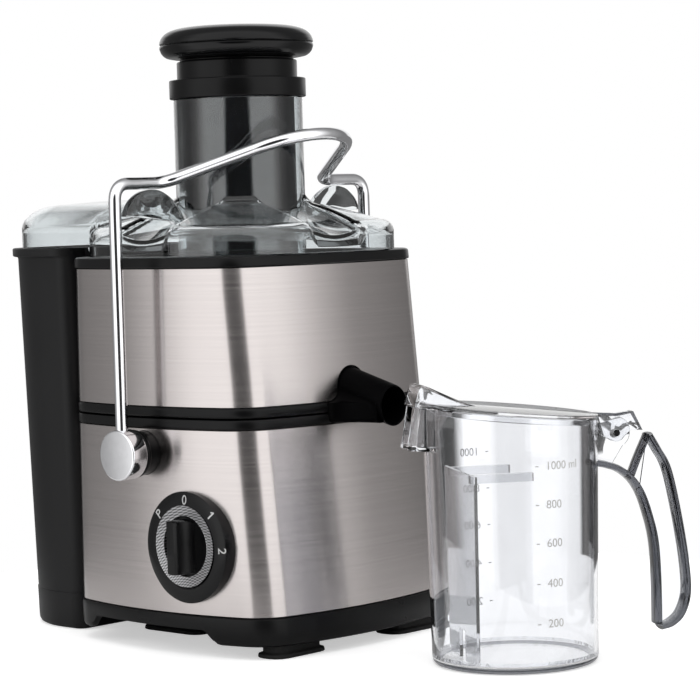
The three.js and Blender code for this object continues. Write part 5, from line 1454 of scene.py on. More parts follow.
@dataclass
class Dial:
    """Rotary control: bezel, knurled ring, knob with grip bar and marks.

    Attributes:
        place: Local frame.
        centre: X and height of the bezel's middle.
        axis: X and height of the knob's axis.
        radius: Radius of the bezel.
        front: Distance of its face from the middle of the machine.
        knurl: Outer radius of the silver ring.
        bore: Its inner radius.
        ribs: Ribs round it.
    """

    place: Place
    centre: Flat = (40.5, 68.8)
    axis: Flat = DIAL_AXIS
    radius: float = 35.3
    front: float = 99.4
    knurl: float = 25.8
    bore: float = 18.9
    ribs: int = 104

    def build(self, housing: Housing) -> None:
        """Builds the control.

        Args:
            housing: The housing whose curved face the bezel meets.
        """
        here = self.place.moved(self.centre[0], 0, self.centre[1], facing=True)
        hub = self.place.moved(self.axis[0], 0, self.axis[1], facing=True)
        front, r = self.front, self.radius
        domed = ((out, self.face(out)) for out in (35.1, 34.6, 34.0, 33.0, 31.5, 29.0))
        drum = [(20.0, 80.0), (r, 80.0), (r, front - 1.3), *domed,
                (self.knurl + 0.6, front), (self.knurl + 0.3, front - 0.3), (22.0, front - 1.6), (20.0, front - 2.4)]
        bezel = Draft().turned(drum, 144).piece("dial_drum", here)
        face = Draft().skin([housing.ring(26, -0.3), housing.ring(140, -0.3)]).piece("face cutter", self.place)
        neck = Draft().turned([(20.0, 88.4), (22.0, 88.4), (22.0, front - 1.7), (20.0, front - 2.4)])
        carved(bezel, [face])
        joined(bezel, neck.piece("neck", here))
        settle(bezel, GLOSS, "machine", "dial_bezel")
        self.ring(hub)
        self.knob(hub)
        self.marks(here)

    def face(self, out: float) -> float:
        """Returns how far the bezel's domed face stands out at a distance from its middle."""
        return self.front - 1.0 * max(0.0, (out - 28.0) / 7.1) ** 2

    def ring(self, here: Place) -> None:
        """Builds the dished silver ring with its fine pattern of rows and ribs.

        Args:
            here: Frame of the dial, facing outwards.
        """
        steps = self.ribs * 4
        rows = 25
        rings = []
        for k in range(rows + 4):
            if k < rows:
                t = k / (rows - 1)
                radius = blend_of(self.knurl, self.bore + 0.4, t)
                z = blend_of(self.front + 0.1, self.front - 0.7, t)
            else:
                radius, z = ((self.bore, self.front - 2.4), (self.bore, self.front - 2.9), (22.0, self.front - 1.55),
                             (self.knurl, self.front - 0.25))[k - rows]
            line = []
            for i in range(steps):
                angle = 2 * math.pi * i / steps
                bump = 0.5 - 0.5 * math.cos(angle * self.ribs) * math.cos(k * math.pi / 2) if 0 < k < rows - 1 else 0.0
                line.append(Vector((radius * math.cos(angle), radius * math.sin(angle), z - 0.2 * bump)))
            rings.append(line)
        rings.reverse()
        settle(Draft().skin(rings, closed=True).piece("knurl_ring", here, 20), SILVER, "dial", "dial_ring")

    def knob(self, here: Place) -> None:
        """Builds the round plate with its standing bar, which narrows towards its front.

        Args:
            here: Frame of the dial, facing outwards.
        """
        low = self.front - 2.2
        middle = self.bore - 0.6
        plate = [(3.4, low - 2.4), (19.7, low - 2.4), (19.7, low - 0.9), (middle, low - 0.9), (middle, low - 0.3),
                 (middle - 0.35, low), (3.4, low)]
        piece = Draft().turned(plate).piece("knob_plate", here)
        rings, top = [], self.front
        for z, half, reach in ((low - 0.4, 8.2, 17.4), (low + 1.0, 7.8, 17.4), (top + 4.0, 5.6, 17.3),
                               (top + 9.0, 4.4, 17.2), (top + 10.4, 4.3, 17.0), (top + 11.2, 4.0, 16.7),
                               (top + 11.6, 3.3, 15.8)):
            turn = math.asin(half / reach)
            ends = [(reach * math.sin(a), reach * math.cos(a)) for a in (turn * (1 - k / 6) for k in range(13))]
            rings.append([Vector((x, y, z)) for x, y in (*ends, *((-x, -y) for x, y in ends))])
        grip = Draft().skin([list(reversed(ring)) for ring in rings]).piece("grip", here, 25)
        joined(piece, grip)
        settle(piece, GLOSS, "dial", "dial_knob")

    def marks(self, here: Place) -> None:
        """Sets the plain white marks on the bezel, leaning with its face.

        Args:
            here: Frame of the bezel, facing outwards.
        """
        one = [(-0.5, -2.9), (0.5, -2.9), (0.5, 2.9), (-0.3, 2.9), (-1.9, 1.3), (-1.4, 0.7), (-0.5, 1.5)]
        marks = (("P", -48.5, 30.0), ("0", 1.5, 29.9), ("1", 48.0, 32.3), ("2", 90.0, 32.6))
        upright = Matrix.Rotation(math.radians(90), 4, "X")
        for number, (mark, angle, reach) in enumerate(marks):
            a = math.radians(angle)
            lean = math.atan((self.face(reach - 2) - self.face(reach + 2)) / 4)
            spot = here.matrix() @ Vector((reach * math.sin(a), reach * math.cos(a), self.face(reach) + 0.14))
            turn = upright @ Matrix.Rotation(-a, 4, "Z") @ Matrix.Rotation(-lean, 4, "X")
            if mark == "1":
                frame_here = Matrix.Translation(spot) @ turn @ Matrix.Scale(MM, 4)
                settle(Draft().slab(one, -0.08, 0.08).piece(f"dial_mark_{number}", frame_here), INK, "machine")
                continue
            holder = lettering(f"dial_mark_{number}", mark, 8.6 * MM, "CENTER", 0.00008)
            holder.matrix_world = Matrix.Translation(spot) @ turn
            settle(as_mesh(holder), INK, "machine")


def joined(piece: bpy.types.Object, other: bpy.types.Object) -> bpy.types.Object:
    """Adds another object's mesh to a piece; both are drawn in the same space.

    Args:
        piece: The piece.
        other: The object to add; it is removed.

    Returns:
        The piece.
    """
    both = bmesh.new()
    both.from_mesh(piece.data)
    both.from_mesh(other.data)
    both.to_mesh(piece.data)
    both.free()
    bpy.data.objects.remove(other)
    shade(piece.data, 32.0)
    return piece


def as_mesh(holder: bpy.types.Object) -> bpy.types.Object:
    """Turns a text or curve object into a mesh object of the same name.

    Args:
        holder: The text or curve object; it is removed.

    Returns:
        The mesh object.
    """
    evaluated = holder.evaluated_get(bpy.context.evaluated_depsgraph_get())
    mesh = bpy.data.meshes.new_from_object(evaluated)
    mesh.transform(holder.matrix_world)
    name = holder.name
    bpy.data.objects.remove(holder)
    return placed(name, mesh)


def lettering(name: str, body: str, size: float, align: str, depth: float) -> bpy.types.Object:
    """Makes a text object.

    Args:
        name: Object name.
        body: The text.
        size: Height of the letters.
        align: How the text lies along its line: LEFT or CENTER.
        depth: Half its thickness.

    Returns:
        The text object.
    """
    text = bpy.data.curves.new(name, "FONT")
    text.body, text.size, text.extrude = body, size, depth
    text.align_x, text.align_y = align, "CENTER"
    return placed(name, text)


# ------------------------------------------------------------------ spout, container and jug


@dataclass
class Spout:
    """Sloping black spout with a rolled mouth.

    Attributes:
        place: Local frame.
        radius: Outer radius.
        wall: Wall thickness.
        mouth: X of the mouth.
        mouth_z: Height of the middle of the mouth.
        slope: Fall, in degrees.
        root: X of its inner end.
    """

    place: Place
    radius: float = SPOUT_RADIUS
    wall: float = 1.2
    mouth: float = SPOUT_MOUTH[0]
    mouth_z: float = SPOUT_MOUTH[1]
    slope: float = SPOUT_SLOPE
    root: float = 83.4

    def build(self) -> None:
        """Builds the tube, cut upright at its mouth."""
        rise = math.tan(math.radians(self.slope))
        rings = []
        steps = 64
        for radius, x in ((self.radius, self.root), (self.radius, 100.0), (self.radius, 120.0), (self.radius, 129.4),
                          (self.radius - 0.2, 130.7), (self.radius - 0.6, 131.0), (self.radius - 1.0, 130.7),
                          (self.radius - self.wall, 129.4), (self.radius - self.wall, self.root)):
            line = []
            for a, b in ellipse(radius, radius / math.cos(math.radians(self.slope)), steps):
                start = max(x, self.root if abs(a) < 1 else
                            math.sqrt(max(self.root ** 2 - a * a, 0.0)) if x == self.root else x)
                line.append(Vector((start, a, self.mouth_z + (self.mouth - start) * rise + b)))
            rings.append(line)
        tube = Draft().skin(rings, closed=True).piece("spout_tube", self.place, 50)
        settle(tube, SPOUT_PAINTED_SHADE_BLACK, "machine", "juice_spout")


@dataclass
class Container:
    """Matt black pulp container.

    Attributes:
        place: Local frame.
        near: X of the flat side.
        far: X of the round side at the top.
        half: Half width at the top.
        outer: Radius of the outer corners.
        inner: Radius of the inner ones.
        draft_in: How much the walls draw in towards the foot.
        wall: Wall thickness.
        lip: How far the lip stands out.
        lip_height: Height of the lip.
        top: Height of the rim.
        foot: Height at which the inner wall ends.
        hook: X and half width of the hook.
        step: Height of the small step in the wall.
    """

    place: Place
    near: float = -93.2
    far: float = -177.0
    half: float = 75.0
    outer: float = 57.0
    inner: float = 10.0
    draft_in: float = 5.0
    wall: float = 2.5
    lip: float = 3.0
    lip_height: float = 5.6
    top: float = 257.0
    foot: float = 6.0
    hook: Flat = (-84.0, 56.0)
    step: float = 25.0

    def ring(self, z: float, inset: float, near_inset: float | None = None) -> Ring:
        """Returns the outline: flat towards the housing, round on its far side.

        Args:
            z: Height.
            inset: How far it is drawn in.
            near_inset: The same for the flat side, if different.

        Returns:
            The outline.
        """
        drawn = self.draft_in * (1 - z / self.top)
        near = self.near - (inset if near_inset is None else near_inset)
        far, half = self.far + inset + drawn, self.half - inset - drawn
        outer, inner = self.outer - inset, max(self.inner - inset, 1.0)
        line: Ring = []
        corners = ((near - inner, half - inner, inner, 0, 10), (far + outer, half - outer, outer, 90, 32),
                   (far + outer, outer - half, outer, 180, 32), (near - inner, inner - half, inner, 270, 10))
        for x, y, radius, start, steps in corners:
            for i in range(steps + 1):
                a = math.radians(start + 90 * i / steps)
                line.append(Vector((x + radius * math.cos(a), y + radius * math.sin(a), z)))
        return line

    def build(self) -> None:
        """Builds the walls, the lip and the hook over the housing's rim."""
        low, out, top, step, wall = self.top - self.lip_height, -self.lip, self.top, self.step, self.wall
        levels = [(0.0, 4.0), (0.3, 2.6), (1.2, 1.1), (2.8, 0.25), (5.0, 0.0), (step - 0.6, 0.0), (step - 0.2, 0.45),
                  (step + 0.4, 0.45, 0.0), *((blend_of(step + 2, low - 1.5, i / 8), 0.45, 0.0) for i in range(9)),
                  (low - 0.6, 0.1, 0.0), (low - 0.1, out + 0.7, 0.0), (low + 0.5, out, 0.0), (top - 1.0, out, 0.0),
                  (top - 0.3, out + 0.35, 0.0), (top, out + 1.0, 0.4), (top, wall - 0.6), (top - 0.6, wall),
                  (self.foot, wall), (wall + 0.8, self.foot - 1.0), (wall, self.foot + 2)]
        piece = Draft().skin([self.ring(*level) for level in levels]).piece("container_body", self.place)
        x, half = self.hook
        lug = rounded([(self.near - 2.4, -half), (x, -half), (x, half), (self.near - 2.4, half)], 1.6)
        hook = Draft().slab(lug, low, top, 0.5).piece("hook", self.place)
        joined(piece, hook)
        settle(piece, MATTE, "container", "pulp_container")


@dataclass
class Jug:
    """Clear jug with handle, lid and graduations, drawn about its own axis with the handle to +X.

    Attributes:
        place: Local frame of the jug.
        base: Radius at the foot.
        top: Radius at the rim.
        wall: Wall thickness.
        floor: Floor thickness.
        rim: Height of the rim plane on the axis.
        fall: Slope of the rim plane, in degrees.
        hinge: Position of the lid's pin across and up.
        lip_reach: Reach of the pouring lip.
        lip_depth: Height of the lip under the rim.
        lip_half: Half width of the lip.
        handle_width: Width of the handle's ribs.
        rib: Thickness of the ribs.
        handle_reach: How far the handle stands out from the pin.
        handle_drop: How far it reaches down from the pin.
        tick: Length of a level mark.
        around: Points round the wall.
    """

    place: Place
    base: float = 50.6
    top: float = 53.4
    wall: float = 2.2
    floor: float = 3.5
    rim: float = 152.6
    fall: float = 5.6
    hinge: Flat = (66.5, 137.0)
    lip_reach: float = 66.5
    lip_depth: float = 24.7
    lip_half: float = 15.0
    handle_width: float = 16.0
    rib: float = 4.4
    handle_reach: float = 43.5
    handle_drop: float = 121.0
    tick: float = 2.0
    around: int = 180

    def build(self) -> None:
        """Builds the jug and everything on it."""
        self.vessel()
        self.lid()
        self.graduations()

    def thick(self, point: Vector) -> bool:
        """Tells whether a point lies on the foot's edge, the rim or an edge of the handle's sheets, which show dark as
        painted shade.

        Args:
            point: The point, in the jug's frame.

        Returns:
            Whether it does.
        """
        foot = point.z < 3.6 and math.hypot(point.x, point.y) > 45.5
        rim = abs(point.z - self.rim_z(point.x)) < 0.35 and math.hypot(point.x, point.y) < 56
        sheet_edge = point.x > self.top + 4 and 0.2 < abs(point.y) < 0.85 and point.z > 100
        return foot or rim or sheet_edge

    def radius(self, z: float) -> float:
        """Returns the wall's outer radius at a height."""
        return blend_of(self.base, self.top, z / self.rim)

    def rim_z(self, u: float) -> float:
        """Returns the height of the rim plane across the jug."""
        return self.rim - u * math.tan(math.radians(self.fall))

    def reach(self, angle: float, z: float, inset: float) -> float:
        """Distance to the wall or the pouring lip in a direction.

        Args:
            angle: Direction, 0 towards the handle.
            z: Height.
            inset: How far it is drawn in.

        Returns:
            The distance.
        """
        wall = self.radius(z) - inset
        c, s = math.cos(angle), math.sin(angle)
        low = self.rim + 5 - self.lip_depth + inset
        if c > -0.5 or z < low - 1.8:
            return wall
        grow = min(max((z - low + 1.8) / 1.8, 0.0), 1.0)
        far = blend_of(self.radius(z) - inset - 4, self.lip_reach - inset - 0.18 * max(z - low, 0.0), grow ** 0.6)
        half = self.lip_half - inset
        across = half / max(abs(s), 1e-9)
        along = far / abs(c)
        x, y = far - 6.0, half - 6.0
        corner = abs(c) * x + abs(s) * y
        lip = min(across, along)
        if lip * abs(c) > far - 6.0 and lip * abs(s) > half - 6.0:
            lip = corner + math.sqrt(max(corner ** 2 - x ** 2 - y ** 2 + 36.0, 0.0))
        if across < wall * 0.9:
            return wall
        return max(wall, lip)

    def level(self, z: float, inset: float, top: float = 0.0, share: float = 1.0) -> Ring:
        """Returns the wall's outline at a height, or on the rim plane where that is lower.

        Args:
            z: Height.
            inset: How far it is drawn in.
            top: How far under the rim plane it stops.
            share: Scale of the outline.

        Returns:
            The outline.
        """
        line: Ring = []
        for i in range(self.around):
            angle = 2 * math.pi * (i + 0.5) / self.around
            high = z
            for _ in range(3):
                r = self.reach(angle, high, inset) * share
                high = min(z, self.rim_z(r * math.cos(angle)) - top)
            line.append(Vector((r * math.cos(angle), r * math.sin(angle), high)))
        return line

    def vessel(self) -> None:
        """Walls, floor, pouring lip and handle."""
        tall = 200.0
        heights = [5.0, 20, 40, 60, 80, 100, 115, 125, 130.0, 131.0, 131.3, 131.6, 131.9, 132.3, 132.8, 133.4, 134.5,
                   136.0, 140.0, 144.0]
        inside = [h + 2.2 if 129 < h < 137 else h for h in heights]
        wall, floor = self.wall, self.floor
        levels = [(0.0, 5.5), (0.15, 3.8), (0.9, 1.6), (2.2, 0.45), (4.0, 0.0), *((z, 0.0, 0.6) for z in heights),
                  (tall, 0.0, 0.6), (tall, 0.3, 0.15), (tall, 1.1, 0.0), (tall, wall - 0.3, 0.15), (tall, wall, 0.6),
                  *((z, wall, 0.7) for z in reversed(inside)), (floor + 3.5, wall), (floor + 1.2, wall + 0.9),
                  (floor + 0.2, wall + 2.6), (floor, wall + 5.0)]
        body = Draft().skin([self.level(*level) for level in levels]).piece("jug_body", self.place, 35)
        ribs, sheets = self.handle()
        for part in sheets:
            joined(body, part)
        settle(body, CLEAR, "jug", "jug")
        # The foot's edge, the rim and the edges of the handle's sheets get the dark tint: painted shade.
        touched_up(body, SHADED_CLEAR, self.place, self.thick)
        # The handle's ribs and strut are tinted dark all over: painted shade.
        for part in ribs:
            settle(part, SHADED_CLEAR, "jug")

    def handle(self) -> tuple[list[bpy.types.Object], list[bpy.types.Object]]:
        """Makes the open-backed handle.

        Returns:
            Its ribs and strut, and its web and hinge panel.
        """
        def grip(out: float, down: float) -> Flat:
            """Finds a point of the handle's outline."""
            return self.hinge[0] + out * self.handle_reach, self.hinge[1] - down * self.handle_drop

        def rib(points: Sequence[Flat], width: float, name: str) -> bpy.types.Object:
            """Makes one rib of the handle."""
            line = [Vector((u, 0.0, z)) for u, z in spline(points, 8)]
            return Draft().swept(line, ellipse(self.rib / 2, width / 2, 24, 2.3)).piece(name, self.place, 50)

        root = self.hinge[1] - 0.145 * self.handle_drop
        outer = [grip(*at) for at in ((0.478, 0.015), (0.6, 0.092), (0.75, 0.2), (0.89, 0.44), (0.985, 0.68),
                                      (1, 0.835), (0.91, 0.935), (0.76, 0.985), (0.6, 1.0))]
        inner = [(self.radius(root) - 1.0, root),
                 *(grip(*at) for at in ((-0.15, 0.16), (0.035, 0.185), (0.21, 0.235), (0.34, 0.305), (0.44, 0.405),
                                        (0.535, 0.555), (0.565, 0.75), (0.565, 0.985)))]
        strut = [grip(0.478, 0.015), grip(0.325, 0.13), grip(0.22, 0.22)]
        parts = [rib(outer, self.handle_width, "handle_outer"), rib(inner, self.handle_width, "handle_inner"),
                 rib(strut, self.handle_width * 0.6, "handle_strut")]
        u, z = self.hinge
        side = self.place.moved(0, 0, 0, 0, True)
        web = [*spline(outer, 5), *reversed(spline(inner[5:], 5)), *reversed([grip(0.34, 0.305), grip(0.25, 0.24)])]
        sheets = [Draft().slab(web, -0.9, 0.9).piece("web", side)]
        panel = [(self.radius(root) - 1, root), (u - 2, root - 1), *((u + 9.4 * math.cos(a), z + 9.4 * math.sin(a))
                 for a in (math.radians(-60 + 130 * k / 12) for k in range(13))), (self.radius(z) - 1, z + 6)]
        sheets.append(Draft().slab(panel, -1.2, 1.2, 0.3).piece("panel", side))
        return parts, sheets

    def lid(self) -> None:
        """Sloping lid plate with its skirt, hood, ears and thumb piece."""
        lean = self.place.matrix() @ Matrix.Translation((0, 0, self.rim + 0.3)) \
            @ Matrix.Rotation(math.radians(self.fall), 4, "Y")
        edge, sheet = self.top + 0.6, 2.2
        plate = rounded([(0.0, 0.0), (edge, 0.0), (edge, sheet), (0.0, sheet)], 0.7, closed=False)
        disc = Draft().turned([(0.0, 0.0), *plate[1:-1], (0.0, sheet)], 144)
        rows = []
        for u, rise, narrow, half in ((-62.6, 0.6, 0.97, 14.6), (-62.3, 2.2, 0.95, 15.0), (-61.2, 8.0, 0.88, 15.4),
                                      (-60.2, 11.8, 0.84, 15.5), (-59.2, 13.3, 0.82, 15.5), (-57.8, 13.3, 0.8, 15.4),
                                      (-54.0, 12.2, 0.78, 14.8), (-50.0, 10.8, 0.74, 12.6), (-42.0, 8.0, 0.7, 9.4),
                                      (-33.0, 5.0, 0.66, 6.0), (-25.0, 2.8, 0.6, 3.0), (-22.0, 2.3, 0.6, 2.0)):
            shoulder = rise * 0.42
            rows.append((u, [(-half, 0.1), (-half, shoulder), (-half * narrow, rise), (half * narrow, rise),
                             (half, shoulder), (half, 0.1)]))
        outer = [[Vector((u, y, z)) for y, z in section] for u, section in rows]
        inner = [[Vector((u + (1.4 if i == 0 else 0), y * 0.9, max(z - 1.6, -0.5) if z > 0.5 else -0.5))
                  for y, z in section] for i, (u, section) in enumerate(rows)]
        skirt = self.top - self.wall - 0.6
        ring = Draft().turned([(skirt - 2.0, -4.0), (skirt - 0.4, -4.0), (skirt, -3.6), (skirt, 0.1),
                               (skirt - 2.0, 0.1)], 144)
        piece = disc.piece("jug_cover_body", lean)
        hood = Draft().skin(outer).piece("hood", lean, 24)
        room = Draft().skin(inner).piece("hood room", lean)
        carved(hood, [room], 24)
        notch = Draft().skin([[Vector((x, y, z)) for x, y in ((skirt - 12, -60), (90, -60), (90, 60), (skirt - 12, 60))]
                              for z in (-9.0, 0.0)])
        collar = carved(ring.piece("collar", lean), [notch.piece("skirt notch", lean)])
        for part in (hood, collar, *self.thumb_piece()):
            joined(piece, part)
        settle(piece, CLEAR, "jug_cover", "jug_lid")
        # The ears' side edges get the dark tint: painted shade that outlines them.
        touched_up(piece, SHADED_CLEAR, self.place, lambda at: at.x > self.top + 3 and 1.55 < abs(at.y) < 4.4)

    def thumb_piece(self) -> list[bpy.types.Object]:
        """Makes the ears under the thumb.

        Returns:
            The two ears as one piece, and the bar that bridges them.
        """
        u, z = self.hinge
        edge = self.top

        def arc(degrees: float, radius: float) -> Flat:
            """Finds a point round the hinge pin."""
            return u + radius * math.cos(math.radians(degrees)), z + radius * math.sin(math.radians(degrees))

        def over(across: float, lift: float) -> Flat:
            """Finds a point over the rim plane."""
            return across, self.rim_z(across) + 0.3 + lift

        tip, peak = (u + 16.6, z + 1.2), (u + 10.8, z + 13.0)
        ear = [over(edge - 4, 0.1), over(edge + 1.4, 0.1), arc(190, 8.5), arc(215, 6),
               *(arc(a, 5.2) for a in range(240, 331, 15)), (u + 9.0, z + 1.4), tip, peak, (u - 0.5, z + 10.4),
               over(edge - 4, 2.2)]
        bar = [over(edge - 4, 0.3), (u - 4.5, z + 10.2), (u + 1.5, z + 10.0), (u + 9.8, z + 11.4), peak,
               (u + 0.5, z + 11.9), over(edge - 4, 2.2)]
        front = [(u + 9.0, z + 12.0), (u + 14.8, z + 1.2), tip, peak]
        side = self.place.moved(0, 0, 0, 0, True)
        gap, wide = 1.5, 4.5
        ears = [Draft().slab(ear, low, high, 0.3).piece(f"ear {low}", side)
                for low, high in ((-wide, -gap), (gap, wide))]
        bridge = joined(Draft().slab(bar, -gap - 0.2, gap + 0.2).piece("bridge", side),
                        Draft().slab(front, -gap - 0.2, gap + 0.2).piece("thumb front", side))
        wall = Draft().turned([(0.0, 100.0), (edge + 0.9, 100.0), (edge + 0.9, 143.5), (0.0, 143.5)])
        return [carved(joined(ears[0], ears[1]), [wall.piece("wall", self.place)]), bridge]

    def graduations(self) -> None:
        """Faint raised marks on the near wall and, mirrored by the view, on the far wall."""
        levels = ((200, 30.0), (400, 54.0), (600, 78.0), (800, 101.0), (1000, 124.0))
        for side in Side:
            name = side.name.lower()
            both = Draft()
            for _, z in levels:
                self.level_mark(both, side, z)
            settle(both.piece(f"jug_ticks_{name}", self.place), SCALE_INK, "jug")
            for value, z in levels:
                body = "1000 ml" if value == 1000 and side is Side.NEAR else str(value)
                self.number(f"jug_{name}_{value}", body, side, z)

    def level_mark(self, draft: Draft, side: Side, z: float) -> None:
        """Adds a short level mark on the wall.

        Args:
            draft: Draft of the marks.
            side: Which wall it stands on.
            z: Height.
        """
        rows = []
        for lift in (0.02, 0.14):
            for height in ((z - 0.3, z + 0.3) if lift == 0.02 else (z + 0.3, z - 0.3)):
                r = self.radius(height) + lift
                turns = [self.tick * k / 4 / r for k in range(5)]
                rows.append([Vector((side.value * r * math.sin(a), -side.value * r * math.cos(a), height))
                             for a in turns])
        base = len(draft.points)
        for row in rows:
            draft.points.extend(row)
        for i in range(4):
            low, high = base + 5 * i, base + 5 * ((i + 1) % 4)
            draft.faces.extend((low + j, low + j + 1, high + j + 1, high + j) for j in range(4))
        for end in (0, 4):
            draft.faces.append(tuple(base + 5 * i + end for i in range(4)))

    def number(self, name: str, body: str, side: Side, z: float) -> None:
        """Sets one number on the wall, bent round it.

        Args:
            name: Object name.
            body: The text.
            side: Which wall it stands on.
            z: Height of its middle.
        """
        made = as_mesh(lettering(name, body, 7.0, "LEFT", 0.05))
        r = self.radius(z) + 0.1
        for vertex in made.data.vertices:
            along, up, out = vertex.co
            a, reach = (along + 6.5) / r, r + out
            spot = Vector((side.value * reach * math.sin(a), -side.value * reach * math.cos(a), z + up))
            vertex.co = self.place.matrix() @ spot
        settle(made, SCALE_INK, "jug")


# ------------------------------------------------------------------ studio


@dataclass
class Studio:
    """Floor, light and camera.

    Attributes:
        axis: Point on the counter under the feed tube, in metres.
        camera_from: Camera position from that point, in millimetres.
        azimuth: Turn of the camera about the vertical, in degrees.
        elevation: Height angle of the camera, in degrees.
        roll: Turn of the camera about its own line of sight, in degrees.
        lens: Focal length for a 36 mm sensor.
        floor_radius: Radius of the floor disc, in metres.
        dark_strip: Edges, across the view, of the painted shade: the part of the floor that looks dark through clear
            pieces.
        strip_edge: Width of the soft edge of that part, in metres.
    """

    axis: Vector
    camera_from: Point = (1228.7, -1227.1, 284.4)
    azimuth: float = 42.75
    elevation: float = 3.3
    roll: float = 1.6
    lens: float = 134.76
    floor_radius: float = 0.42
    dark_strip: Flat = (0.078, 0.114)
    strip_edge: float = 0.006

    def build(self) -> None:
        """Builds the whole studio."""
        self.floor()
        self.world()
        self.lamps()
        self.camera()
        bpy.context.scene.view_settings.view_transform = "Standard"

    def floor(self) -> None:
        """Makes a pale disc under the object, lifted to white for the eye with its shadows kept.

        Clear pieces see it as an even glow with one dark strip of painted shade, which runs along the camera's azimuth.
        """
        disc = bmesh.new()
        bmesh.ops.create_circle(disc, cap_ends=True, radius=self.floor_radius, segments=128)
        mesh = bpy.data.meshes.new("floor")
        disc.to_mesh(mesh)
        disc.free()
        floor = placed("floor", mesh)
        material = bpy.data.materials.new("pale floor")
        material.use_nodes = True
        nodes = Nodes(material.node_tree)
        ray = nodes.add("ShaderNodeLightPath")
        plain = nodes.add("ShaderNodeBsdfDiffuse", {"Color": (0.86, 0.86, 0.86)})
        lifted = nodes.math("MULTIPLY", ray.outputs["Is Camera Ray"], 0.5)
        lift = nodes.add("ShaderNodeEmission", {"Color": WHITE, "Strength": lifted})
        lit = nodes.add("ShaderNodeAddShader", {0: plain.outputs[0], 1: lift.outputs[0]})
        turn = math.radians(self.azimuth)
        here = nodes.add("ShaderNodeTexCoord").outputs["Object"]
        aside = nodes.add("ShaderNodeVectorMath", {0: here, 1: (math.cos(turn), math.sin(turn), 0.0)},
                          operation="DOT_PRODUCT").outputs["Value"]
        shift = self.axis.dot(Vector((math.cos(turn), math.sin(turn), 0.0)))
        left, right = (edge + shift for edge in self.dark_strip)
        soft = self.strip_edge
        # Painted shade: a dark strip on the floor, seen only through clear pieces, darkens what they show there.
        strip = nodes.math("MAXIMUM", nodes.step(aside, right, right + soft), nodes.step(aside, left + soft, left))
        glow = nodes.add("ShaderNodeEmission", {"Color": WHITE, "Strength": nodes.range(strip, 0.05, 1.1)})
        both = nodes.add("ShaderNodeMixShader",
                         {0: ray.outputs["Is Transmission Ray"], 1: lit.outputs[0], 2: glow.outputs[0]})
        nodes.surface(both.outputs[0])
        mesh.materials.append(material)

    def along(self, nodes: Nodes, way: Vector) -> bpy.types.NodeSocket:
        """Returns how far a world direction agrees with another, from 0 (opposite) to 1 (the same).

        Args:
            nodes: The world's nodes.
            way: Unit direction to compare with.

        Returns:
            The agreement.
        """
        here = nodes.add("ShaderNodeTexCoord").outputs["Generated"]
        product = nodes.add("ShaderNodeVectorMath", {0: here, 1: tuple(way)}, operation="DOT_PRODUCT").outputs["Value"]
        return nodes.math("MULTIPLY_ADD", product, 0.5, 0.5)

    def world(self) -> None:
        """Soft surroundings.

        White to the eye; a wide bright panel with a narrow dark gap for polished faces; for what is seen through
        clear pieces, white straight ahead and dim to the sides, which draws their edges dark.
        """
        world = bpy.data.worlds.new("studio")
        world.use_nodes = True
        bpy.context.scene.world = world
        nodes = Nodes(world.node_tree)
        ray = nodes.add("ShaderNodeLightPath")
        turn, rise = math.radians(self.azimuth), math.radians(self.elevation)
        front = Vector((math.sin(turn), -math.cos(turn), 0.0))
        side = Vector((math.cos(turn), math.sin(turn), 0.0))
        ahead = Vector((-math.sin(turn) * math.cos(rise), math.cos(turn) * math.cos(rise), -math.sin(rise)))
        panels = nodes.ramp(self.along(nodes, front), greys(
            (0.0, 0.24), (0.21, 0.24), (0.44, 0.42), (0.54, 0.8), (0.66, 1.55), (0.945, 1.55), (0.962, 0.04),
            (1.0, 0.04)))
        across = nodes.math("MULTIPLY_ADD", self.along(nodes, side), 2.0, -1.0)
        height = nodes.math("MULTIPLY_ADD", self.along(nodes, Vector((0.0, 0.0, 1.0))), 2.0, -1.0)
        low = nodes.step(height, -0.045, -0.06)
        start = nodes.math("MULTIPLY_ADD", low, 0.356, -0.355)
        field = nodes.math("MULTIPLY", nodes.step(nodes.math("SUBTRACT", across, start), 0.0, 0.02),
                           nodes.step(across, 0.165, 0.145))
        field = nodes.math("MULTIPLY", field, nodes.step(self.along(nodes, ahead), 0.93, 0.96))
        field = nodes.math("MAXIMUM", field, nodes.step(height, 0.03, 0.12))
        around = nodes.ramp(self.along(nodes, front), greys(
            (0.0, 0.045), (0.57, 0.03), (0.66, 0.9), (0.711, 1.5), (0.945, 1.5), (0.962, 0.04), (1.0, 0.04)))
        unturned = nodes.math("LESS_THAN", ray.outputs["Glossy Depth"], 0.5)
        elsewhere = nodes.math("MULTIPLY", unturned, nodes.step(self.along(nodes, ahead), 0.9, 0.885))
        around = nodes.mix(elsewhere, around, WHITE)
        through = nodes.mix(field, around, (1.1, 1.1, 1.1))
        behind = nodes.math("MULTIPLY", nodes.step(height, 0.0, 0.03), nodes.step(self.along(nodes, front), 0.14, 0.08))
        panels = nodes.mix(behind, panels, WHITE)
        colour = nodes.mix(ray.outputs["Is Glossy Ray"], (0.58, 0.58, 0.58), panels)
        colour = nodes.mix(ray.outputs["Is Transmission Ray"], colour, through)
        colour = nodes.mix(ray.outputs["Is Camera Ray"], colour, WHITE)
        background = nodes.add("ShaderNodeBackground", {"Color": colour, "Strength": 1.0})
        nodes.add("ShaderNodeOutputWorld", {"Surface": background.outputs[0]})

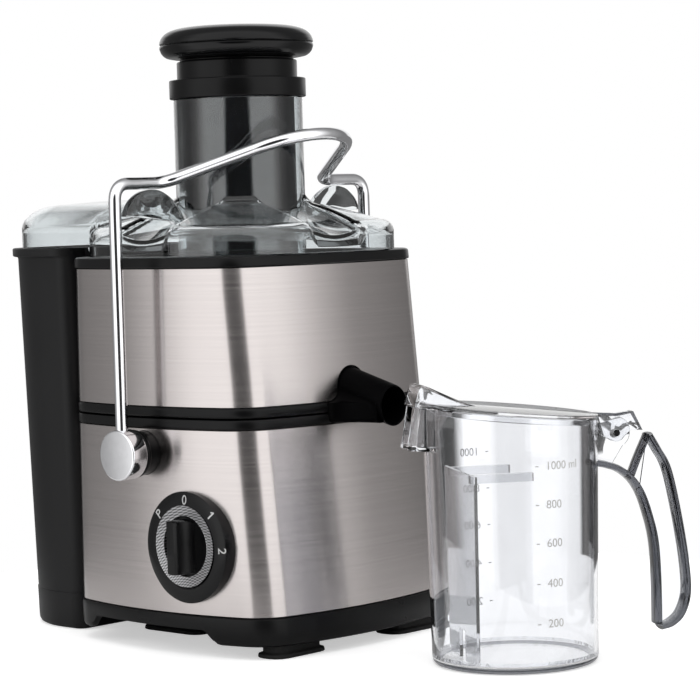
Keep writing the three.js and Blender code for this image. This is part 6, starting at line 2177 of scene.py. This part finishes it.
    def lamps(self) -> None:
        """Three large soft lamps, above, left and right, kept out of reflections."""
        for name, place, size, power in (
            ("top light", (0.0, -0.1, 1.5), 1.4, 9.0),
            ("left light", (-1.3, -1.1, 0.7), 1.0, 7.0),
            ("right light", (1.25, 0.95, 0.7), 1.0, 7.0),
        ):
            lamp = bpy.data.lights.new(name, "AREA")
            lamp.size = size
            lamp.energy = power
            holder = placed(name, lamp)
            holder.location = place
            holder.rotation_euler = (Vector((0, 0, 0.2)) - holder.location).to_track_quat("-Z", "Y").to_euler()
            holder.visible_glossy = False
            holder.visible_transmission = False

    def camera(self) -> None:
        """A long lens, a little above the counter, looking at the housing's front corner."""
        turn, rise, lean = (math.radians(angle) for angle in (self.azimuth, self.elevation, self.roll))
        back = Vector((math.sin(turn) * math.cos(rise), -math.cos(turn) * math.cos(rise), math.sin(rise)))
        right = Vector((math.cos(turn), math.sin(turn), 0.0))
        up = back.cross(right)
        right, up = (right * math.cos(lean) - up * math.sin(lean), right * math.sin(lean) + up * math.cos(lean))
        data = bpy.data.cameras.new("camera")
        data.lens = self.lens
        data.sensor_width = 36.0
        holder = placed("camera", data)
        rotation = Matrix((right, up, back)).transposed()
        place = self.axis + Vector(self.camera_from) * MM
        holder.matrix_world = Matrix.Translation(place) @ rotation.to_4x4()
        bpy.context.scene.camera = holder


def main() -> None:
    """Builds every piece, dresses the carried-over nodes and sets the studio."""
    logging.basicConfig(level=logging.INFO, format="%(name)s: %(message)s")
    low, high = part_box("pusher_cap_top")
    axis = Vector(((low.x + high.x) / 2, (low.y + high.y) / 2, 0.0))
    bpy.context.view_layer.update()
    for name, node in frame["nodes"].items():
        NODE_FINISH[name].dress(node)
    LOG.info("dressed %d nodes", len(frame["nodes"]))
    place = Place(axis)
    housing = Housing(place)
    housing.build()
    for part in (Lid(place), FeedTube(place), Arm(place), Spout(place), Container(place),
                 Jug(place.moved(222, 3, 0, 55))):
        part.build()
        LOG.info("built %s", type(part).__name__)
    Dial(place).build(housing)
    Studio(axis).build()
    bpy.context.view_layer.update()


if __name__ == "__main__":
    main()
